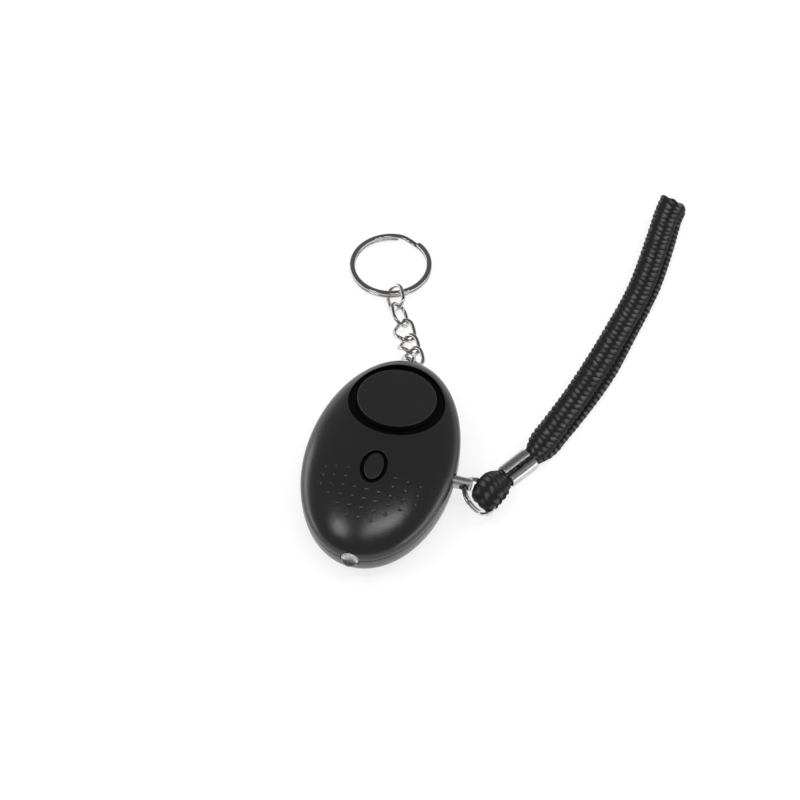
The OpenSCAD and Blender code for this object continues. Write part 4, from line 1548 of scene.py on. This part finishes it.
    def inside(self, loop: Array, upper: bool) -> Patch:
        """One half of the inside, from its edge to the well's middle or to the button's tunnel.

        Args:
            loop: the half's edge.
            upper: the half with the siren, else the half with the button.

        Returns:
            The surface.
        """
        goal = self.cap_at[1] * Y[:2] + 0.0 * loop if upper else self.oval(loop, self.button_gap)
        v = np.linspace(1.0, 0.1 if upper else 0.0, 14)[:, None, None]
        xy = (1 - v) * goal[None] + v * loop[None]
        points = raised(xy, self.ceiling(xy))
        points[0, :, 2] = self.dome(loop, self.wall)
        pole = np.append(goal[0], self.ceiling(goal[:1])[0]) if upper else None
        return Patch(points, last=pole)

    def front(self) -> Piece:
        """Front shell: rim band over the seam's rounded edge to the inside, and the two halves.

        Returns:
            The piece.
        """
        t = self.columns()
        low = self.part_z + self.seam + self.edge + self.opening(t)
        outside, share = self.front_band(t, low, 0.0)
        under = self.seam_edge(t, share, low, -1.0)
        within, _ = self.front_band(t, low - self.edge, self.wall)
        rim = Patch(np.concatenate([outside, under, within[::-1]]))
        shown = [self.well(self.half_loop(t, True, 0.0)), self.moat_side(self.half_loop(t, False, 0.0))]
        hidden = [self.inside(self.half_loop(t, upper, self.wall), upper) for upper in (True, False)]
        return make_piece("front_case", [rim, *shown, *hidden], merge=0.002, sharp=46.0)

    def rear(self) -> Piece:
        """Rear shell: flat back, rounded side up to the seam, then the inside down to the floor.

        Returns:
            The piece.
        """
        t = self.columns()
        p = self.rear_power
        low = self.seam + self.edge + self.opening(t)

        def side(depth: float, first: Array, inset: float) -> Array:
            """Rows of a superellipse from the flat part up to a distance below the parting line."""
            least = np.arcsin(np.clip(first / depth, 0.0, 1.0) ** (p / 2))
            angle = least + (QUARTER - least) * np.linspace(1.0, 0.0, 22)[:, None]
            share = self.back_flat + (1 - self.back_flat) * np.cos(angle) ** (2 / p)
            return raised(self.outline(t[None], share, inset), self.part_z - depth * np.sin(angle) ** (2 / p))

        def disc(inset: float, z: float) -> Array:
            """Rows of the flat part from near its middle."""
            return raised(self.outline(t[None], self.back_flat * np.linspace(0.12, 0.9, 5)[:, None], inset), z)

        outside = side(self.part_z, low, 0.0)
        share = np.linalg.norm(outside[-1, :, :2], axis=1) / np.linalg.norm(self.outline(t), axis=1)
        over = self.seam_edge(t, share, self.part_z - low, 1.0)
        within = side(self.part_z - self.floor, low - self.edge, self.rear_wall)
        rows = [disc(0.0, 0.0), outside, over, within[::-1], disc(self.rear_wall, self.floor)[::-1]]
        patch = Patch(np.concatenate(rows), first=0.0 * Z, last=self.floor * Z, flip=True)
        return make_piece("rear_case", [patch], merge=0.002, sharp=46.0)

    def at_screws(self, name: str, section: Sequence[Sequence[float]], hollow: bool, sharp: float) -> Piece:
        """Turn a section about each screw's upright axis.

        Args:
            name: the piece's name.
            section: rows of radius and height.
            hollow: the section is a closed line clear of the axis.
            sharp: the angle in degrees past which an edge is shown sharp.

        Returns:
            The piece.
        """
        patches = [revolve(section, np.array([x, y, 0.0]), hollow=hollow) for x, y in self.screw_spots]
        return make_piece(name, patches, merge=SEAL, sharp=sharp)

    def slope(self, xy: Array) -> Array:
        """Outward normal of the dome, from differences of its height.

        Args:
            xy: points of the plane.

        Returns:
            The normals.
        """
        step = 0.05
        rise = [(self.dome(xy + d) - self.dome(xy - d)) / (2 * step) for d in step * np.eye(2)]
        return unit(np.stack([-rise[0], -rise[1], np.ones_like(rise[0])], axis=-1))

    def dimples(self) -> Piece:
        """Bowls that cut the grip dimples: a grid of columns and rows on the dome below the button.

        A ball that cuts a dimple of radius r and depth h has the radius (r r + h h) / 2 h. Only its
        lower cap is made, and a flat lid closes it above the dome. The columns beside the button
        start lower, and the others get shorter towards the sides.

        Returns:
            The cutter.
        """
        r, h = self.dimple
        ball = (r * r + h * h) / (2 * h)
        a = np.radians(np.linspace(5.0, 54.0, 10))
        bowl = ball * np.column_stack([np.sin(a), -np.cos(a)])
        section = np.concatenate([[(0.0, -ball)], bowl, [(0.0, bowl[-1, 1])]])
        wide, long = self.dimple_pitch
        patches = []
        for column in range(-4, 5):
            near = abs(column) < 2
            for row in range(2, 6) if near else range(7 - abs(column)):
                xy = np.array([wide * column, self.dimple_y - long * row])
                n = self.slope(xy)
                e = unit(np.cross(n, Y))
                patches.append(revolve(section, self.lift(xy) + (ball - h) * n, (e, np.cross(n, e), n), 24))
        return make_piece("dimple_cutter", patches, merge=SEAL)

    def steady(self, piece: Piece) -> None:
        """Give the corners that lie on the dome the dome's own normal, so that cuts leave no streaks.

        Args:
            piece: the front shell.
        """
        mesh = piece.data
        index = np.empty(len(mesh.loops), np.int32)
        mesh.loops.foreach_get("vertex_index", index)
        points = np.empty(3 * len(mesh.vertices))
        mesh.vertices.foreach_get("co", points)
        points = points.reshape(-1, 3) / MM
        shown = np.empty(3 * len(index), np.float32)
        mesh.corner_normals.foreach_get("vector", shown)
        shown = shown.reshape(-1, 3)
        own = self.slope(points[:, :2])[index]
        above_rim = points[:, 2] > self.part_z + 2.0
        on_dome = np.abs(points[:, 2] - self.dome(points[:, :2])) < 0.01
        take = (on_dome & above_rim)[index] & (np.sum(own * shown, axis=1) > 0.95)
        mesh.normals_split_custom_set(np.where(take[:, None], own, shown).tolist())

    def recessed(self, piece: Piece) -> Array:
        """Which faces of the front lie in the siren's well or in the button's moat, and get painted shade.

        Args:
            piece: the front shell.

        Returns:
            True for each such face.
        """
        play, sunk = 0.05, 0.3
        centre = face_centres(piece)
        middle, ex, ey, ez = self.cap_frame()
        place = centre - middle
        well = (np.hypot(place @ ex, place @ ey) < self.well_r) & (place @ ez > -self.well_depth - play)
        a, b = (half + self.moat for half in self.button_half)
        oval = np.hypot(centre[:, 0] / a, (centre[:, 1] - self.button_y) / b) < 1.0
        below = self.dome(centre[:, :2]) - centre[:, 2] > sunk
        return well | (oval & below & (centre[:, 2] > self.pad_z + play))

    def build(self, plastic: Material, rear_plastic: Material, recess_shade: Material) -> None:
        """Make both shells, with the grip dimples in the front, and the screw sleeves.

        Args:
            plastic: finish of the front.
            rear_plastic: finish of the rear.
            recess_shade: finish of the well and the moat, darker for painted shade.
        """
        rear, front = self.rear(), self.front()
        r, low, high = self.screw_well
        cut(rear, self.at_screws("screw_well_cutter", [(0, low), (r, low), (r, high), (0, high)], False, 40.0))
        cut(front, self.dimples(), 17.0)
        self.steady(front)
        dress(front, plastic, "case", ["front_shell"])
        # painted shade: the well's and the moat's faces get the darker finish
        second_finish(front, recess_shade, self.recessed(front))
        dress(rear, rear_plastic, "case", ["rear_shell"])
        dress(self.at_screws("screw_sleeves", self.sleeve, True, 30.0), rear_plastic, "case")


# Cap, torch and pin

@dataclass
class SoundCap:
    """Round matt cap over the siren's ports.

    Attributes:
        case: the case that carries it.
        radius: of the cap.
        soft: rounding of its edge.
        stem: radius of its stem.
        stem_end: depth of the stem below its face.
    """

    case: Case
    radius: float = 11.0
    soft: float = 0.28
    stem: float = 2.9
    stem_end: float = 4.5

    def build(self, plastic: Material, recess_shade: Material) -> None:
        """Turn a section, a flat face with a rounded edge, about the cap's axis.

        Args:
            plastic: finish of the cap's face.
            recess_shade: finish of its side, darker for painted shade.
        """
        middle, *axes = self.case.cap_frame()
        flat, foot, end = self.radius - self.soft, -self.case.well_depth, -self.stem_end
        a = np.linspace(0.0, QUARTER, 9)
        face = [(share * flat, 0.0) for share in (0.0, 0.2, 0.4, 0.6, 0.8, 0.92)]
        edge = np.column_stack([flat + self.soft * np.sin(a), self.soft * (np.cos(a) - 1)])
        side = [(self.radius, 0.6 * foot), (self.radius, foot), (self.stem, foot), (self.stem, end), (0.0, end)]
        patch = revolve(np.concatenate([face, edge, side]), middle, axes, 128)
        cap = dress(make_piece("sound_cap", [patch], merge=SEAL), plastic, "case", ["siren_cap"])
        # painted shade: the cap's side, down in the well, gets the darker finish
        second_finish(cap, recess_shade, (face_centres(cap) - middle) @ axes[2] < -self.soft)


@dataclass
class Torch:
    """Press button and the clear lamp at the case's end.

    Attributes:
        case: the case that carries them.
        face_z: height of the button's face.
        soft: rounding of its edge.
        sink: of the rounded edge below the face.
        flange_z: foot of the button.
        flange: width and height of its flange.
        crown: distance in from the side and depth below the face, over the crowned face.
        lamp_r: radius of the lamp.
        proud: how far the lamp stands out.
        barrel: length of its straight part.
        rim: radius and height of its rim.
        cup_section: radius and place of the cup's section, from the lamp's front.
        leg: radius of the lamp's legs and their distance from its axis.
        leg_rows: places along a leg, from the barrel's end.
    """

    case: Case
    face_z: float = 19.5
    soft: float = 0.45
    sink: float = 0.08
    flange_z: float = 16.0
    flange: tuple[float, float] = (0.9, 0.8)
    crown: tuple[tuple[float, float], ...] = ((0.9, 0.05), (1.4, 0.03), (1.9, 0.01), (2.3, 0.0))
    lamp_r: float = 2.5
    proud: float = 1.7
    barrel: float = 6.0
    rim: tuple[float, float] = (2.9, 1.0)
    cup_section: tuple[tuple[float, float], ...] = (
        (0.0, 3.3), (0.3, 3.3), (0.6, 3.2), (1.5, 2.6), (1.62, 2.65), (1.62, 3.0), (0.9, 3.6),
        (0.9, 7.5), (0.35, 7.5), (0.0, 7.5))
    leg: tuple[float, float] = (0.3, 1.27)
    leg_rows: Point = (0.8, 2.4, 4.0)

    @property
    def tip(self) -> float:
        """Where the lamp starts, along the case."""
        return -0.5 * self.case.length - self.proud

    @property
    def back(self) -> float:
        """Where the lamp's barrel ends."""
        return self.tip + self.lamp_r + self.barrel

    def button(self) -> Piece:
        """Oval button: flange, straight side, rounded edge and a slightly crowned face.

        Returns:
            The piece.
        """
        eta = circle(96)
        q = np.linspace(0.0, QUARTER, 9)
        wide, thick = self.flange
        inward, below = np.array(self.crown).T
        grow = np.concatenate([[wide, wide, 0.0], self.soft * (np.cos(q) - 1), -inward])[:, None]
        edge = self.face_z - self.sink - self.soft * (1 - np.sin(q))
        foot = self.flange_z + thick * np.array([0.0, 1.0, 1.0])
        z = np.concatenate([foot, edge, self.face_z - below])[:, None]
        a, b = self.case.button_half
        sides = ((a + grow) * np.cos(eta), self.case.button_y + (b + grow) * np.sin(eta), z)
        points = np.stack(np.broadcast_arrays(*sides), axis=-1)
        first, last = (np.array([0.0, self.case.button_y, level]) for level in (self.flange_z, self.face_z))
        return make_piece("press_button", [Patch(points, first=first, last=last)], merge=SEAL)

    def turned(self, section: Sequence[Sequence[float]], start: float, count: int, x: float = 0.0) -> Patch:
        """Turn a section about an axis along the case, at the parting line's height.

        Args:
            section: rows of radius and place.
            start: where the places are measured from.
            count: points round a row.
            x: the axis's distance from the middle.

        Returns:
            The surface.
        """
        return revolve(section, np.array([x, start, self.case.part_z]), (X, Z, Y), count)

    def lens(self) -> Piece:
        """Clear body: half a ball, a straight barrel and a rim.

        Returns:
            The piece.
        """
        a = np.linspace(0.0, QUARTER, 16)
        r, end, (rim_r, rim_t) = self.lamp_r, self.back - self.tip, self.rim
        ball = r * np.column_stack([np.sin(a), 1 - np.cos(a)])
        rest = [(r, end - 0.5 * self.barrel), (r, end), (rim_r, end), (rim_r, end + rim_t), (0.6, end + rim_t),
                (0.0, end + rim_t)]
        return make_piece("lamp_body", [self.turned(np.concatenate([ball, rest]), self.tip, 64)], merge=SEAL)

    def cup(self) -> Piece:
        """Bright cup inside the clear body, a turned cone, and the lamp's two legs.

        Returns:
            The piece.
        """
        r, apart = self.leg
        rows = self.leg_rows
        leg = [(0.0, rows[0]), *((r, row) for row in rows), (0.0, rows[-1])]
        patches = [self.turned(self.cup_section, self.tip, 48)]
        patches += [self.turned(leg, self.back, 16, x) for x in (-apart, apart)]
        return make_piece("lamp_cup", patches, merge=SEAL)

    def build(self, plastic: Material, recess_shade: Material, clear: Material, metal: Material) -> None:
        """Make the button, the lamp's body and its cup.

        Args:
            plastic: finish of the button's face.
            recess_shade: finish of its side, darker for painted shade.
            clear: finish of the lamp.
            metal: finish of the cup.
        """
        button = dress(self.button(), plastic, "button", ["torch_button"])
        # painted shade: the button's side, down in the moat, gets the darker finish
        second_finish(button, recess_shade, face_centres(button)[:, 2] < self.face_z - self.soft - self.sink)
        dress(self.lens(), clear, "case", ["torch_lamp"])
        dress(self.cup(), metal, "case")


@dataclass
class PullPin:
    """Plated pin with a cross hole, and the split ring in it.

    Attributes:
        y: place along the case.
        z: height of its axis.
        radius: of the pin.
        inner: its inner end.
        outer: its outer end.
        nose: radius and place of the rows of its inner end.
        shank: where its straight part starts, from the inner end.
        edge: rounding of its outer end.
        hole_x: place of the cross hole.
        hole_r: radius of the cross hole.
        flare: scale of the hole's radius and distance from the pin's axis, from the mouth in.
        roll: turn about its own axis, in degrees.
        ring_size: outside diameter, thickness and height of the ring.
        ring_dip: slope of the ring, in degrees.
        ring_step: where on the ring its step lies, in degrees.
    """

    y: float = -1.9
    z: float = 10.6
    radius: float = 1.8
    inner: float = 10.4
    outer: float = 25.9
    nose: tuple[tuple[float, float], ...] = ((0.0, 0.0), (0.7, 0.0), (1.3, 0.02), (1.55, 0.15))
    shank: float = 0.45
    edge: float = 0.55
    hole_x: float = 24.0
    hole_r: float = 1.15
    flare: tuple[tuple[float, float], ...] = ((0.0, 2.2), (1.5, 2.2), (1.15, 1.75), (1.05, 1.5), (1.0, 1.2))
    roll: float = 18.0
    ring_size: Point = (11.6, 0.8, 1.5)
    ring_dip: float = 38.0
    ring_step: float = -55.0

    @property
    def hole(self) -> Array:
        """Middle of the cross hole."""
        return np.array([self.hole_x, self.y, self.z])

    def pin(self) -> Piece:
        """Turn a section with rounded ends about the pin's axis, and drill it across.

        Returns:
            The piece.
        """
        length = self.outer - self.inner
        a = np.linspace(0.0, QUARTER, 7)[1:]
        along = np.linspace(self.shank, length - self.edge, 8)
        straight = np.column_stack([np.full_like(along, self.radius), along])
        tip = np.array([self.radius, length]) - self.edge * np.column_stack([1 - np.cos(a), 1 - np.sin(a)])
        section = np.concatenate([self.nose, straight, tip, [(0.6, length), (0.0, length)]])
        start = np.array([self.inner, self.y, self.z])
        pin = make_piece("plated_pin", [revolve(section, start, (Y, Z, X), 72)], merge=SEAL)
        axis = turn("X", -90 - self.roll) @ Z
        half = np.array(self.flare) * [self.hole_r, 1.0]
        drill = revolve(np.concatenate([half * [1.0, -1.0], half[::-1]]), self.hole,
                        (X, np.cross(axis, X), axis), 48)
        cut(pin, make_piece("drill", [drill], merge=SEAL))
        return pin

    def build(self, satin: Material, metal: Material) -> None:
        """Make the pin and its ring.

        Args:
            satin: finish of the pin.
            metal: finish of the ring.
        """
        dress(self.pin(), satin, "pin", ["pull_pin"])
        ring = SplitRing("pin_split_ring", *self.ring_size)
        turned = turn("X", -self.roll) @ turn("Y", self.ring_dip)
        piece = ring.build(self.hole + turned @ (ring.radius * X), turned @ turn("Z", self.ring_step))
        dress(piece, metal, "pin_ring", ["pin_ring"])


@dataclass
class Internals:
    """What lies inside the case: CAD nodes that keep their shape and get a finish."""

    def build(self, finishes: dict[str, Material]) -> None:
        """Give each inner node its finish.

        Args:
            finishes: a material for each node's name.
        """
        for name, material in finishes.items():
            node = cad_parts[name]
            node.data.materials.clear()
            node.data.materials.append(material)
            log.info("%s: %s", name, material.name)


def main() -> None:
    """Build the scene and report each piece."""
    logging.basicConfig(level=logging.INFO, format="%(name)s %(message)s")
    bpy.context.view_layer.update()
    Studio().build()
    nickel = PlatedMetal("nickel_plate").make()
    satin = PlatedMetal("satin_pin", (0.55, 0.53, 0.52), 0.3, 0.2, (0.38, 0.36, 0.35)).make()
    cup = PlatedMetal("lamp_cup", (0.5, 0.495, 0.485), 0.2, 0.15, (0.3, 0.3, 0.29)).make()
    rolled = PlatedMetal("rolled_nickel", (0.6, 0.58, 0.57), 0.24, 0.16, (0.44, 0.42, 0.4)).make()
    braid = BraidedCord("black_braid").make()
    folded = BraidedCord("folded_braid", (0.095, 0.093, 0.094)).make()
    Strap().build(braid, folded, rolled)
    Chain().build(nickel)
    black = MouldedPlastic("case_black", (0.0125, 0.0118, 0.0118), 0.21, 0.55, 0.34, 0.62).make()
    rear_black = MouldedPlastic("rear_black", (0.0125, 0.0118, 0.0118), 0.25, 0.25, gloss=0.85).make()
    cap_black = MouldedPlastic("cap_black", (0.0105, 0.01, 0.01), 0.45, 0.15).make()
    # painted shade: a darker, duller copy of the case plastic for the well, the moat and the sides of the cap
    # and the button, where shade falls
    recess_shade = MouldedPlastic("recess_shade_black", (0.0025, 0.0024, 0.0024), 0.75, 0.1, gloss=0.06).make()
    case = Case()
    case.build(black, rear_black, recess_shade)
    SoundCap(case).build(cap_black, recess_shade)
    Torch(case).build(cap_black, recess_shade, ClearLens("clear_lamp").make(), cup)
    PullPin().build(satin, nickel)
    pale = MouldedPlastic("pale_nylon", (0.62, 0.6, 0.55), 0.45).make()
    dark = MouldedPlastic("dark_nylon", (0.02, 0.02, 0.022), 0.45).make()
    brass = PlatedMetal("rolled_brass", (0.72, 0.5, 0.2), 0.25, 0.15, (0.4, 0.25, 0.1)).make()
    steel = PlatedMetal("plain_steel", (0.56, 0.55, 0.54), 0.25, 0.15, (0.3, 0.29, 0.28)).make()
    ceramic = MouldedPlastic("silvered_ceramic", (0.66, 0.65, 0.62), 0.35).make()
    board = PrintedBoard("green_board").make()
    inner = {"siren_chamber": pale, "sounder_plate": brass, "sounder_ceramic": ceramic,
             "switch_plunger": dark, "tact_switch": dark, "circuit_board": board, "pin_socket": dark,
             "socket_contacts": brass, "battery_holder": dark, "positive_contact": nickel,
             "negative_contact": nickel}
    inner.update({f"cell_{i}": steel for i in (1, 2, 3)})
    inner.update({f"case_screw_{i}": steel for i in (1, 2, 3, 4)})
    Internals().build(inner)


if __name__ == "__main__":
    main()
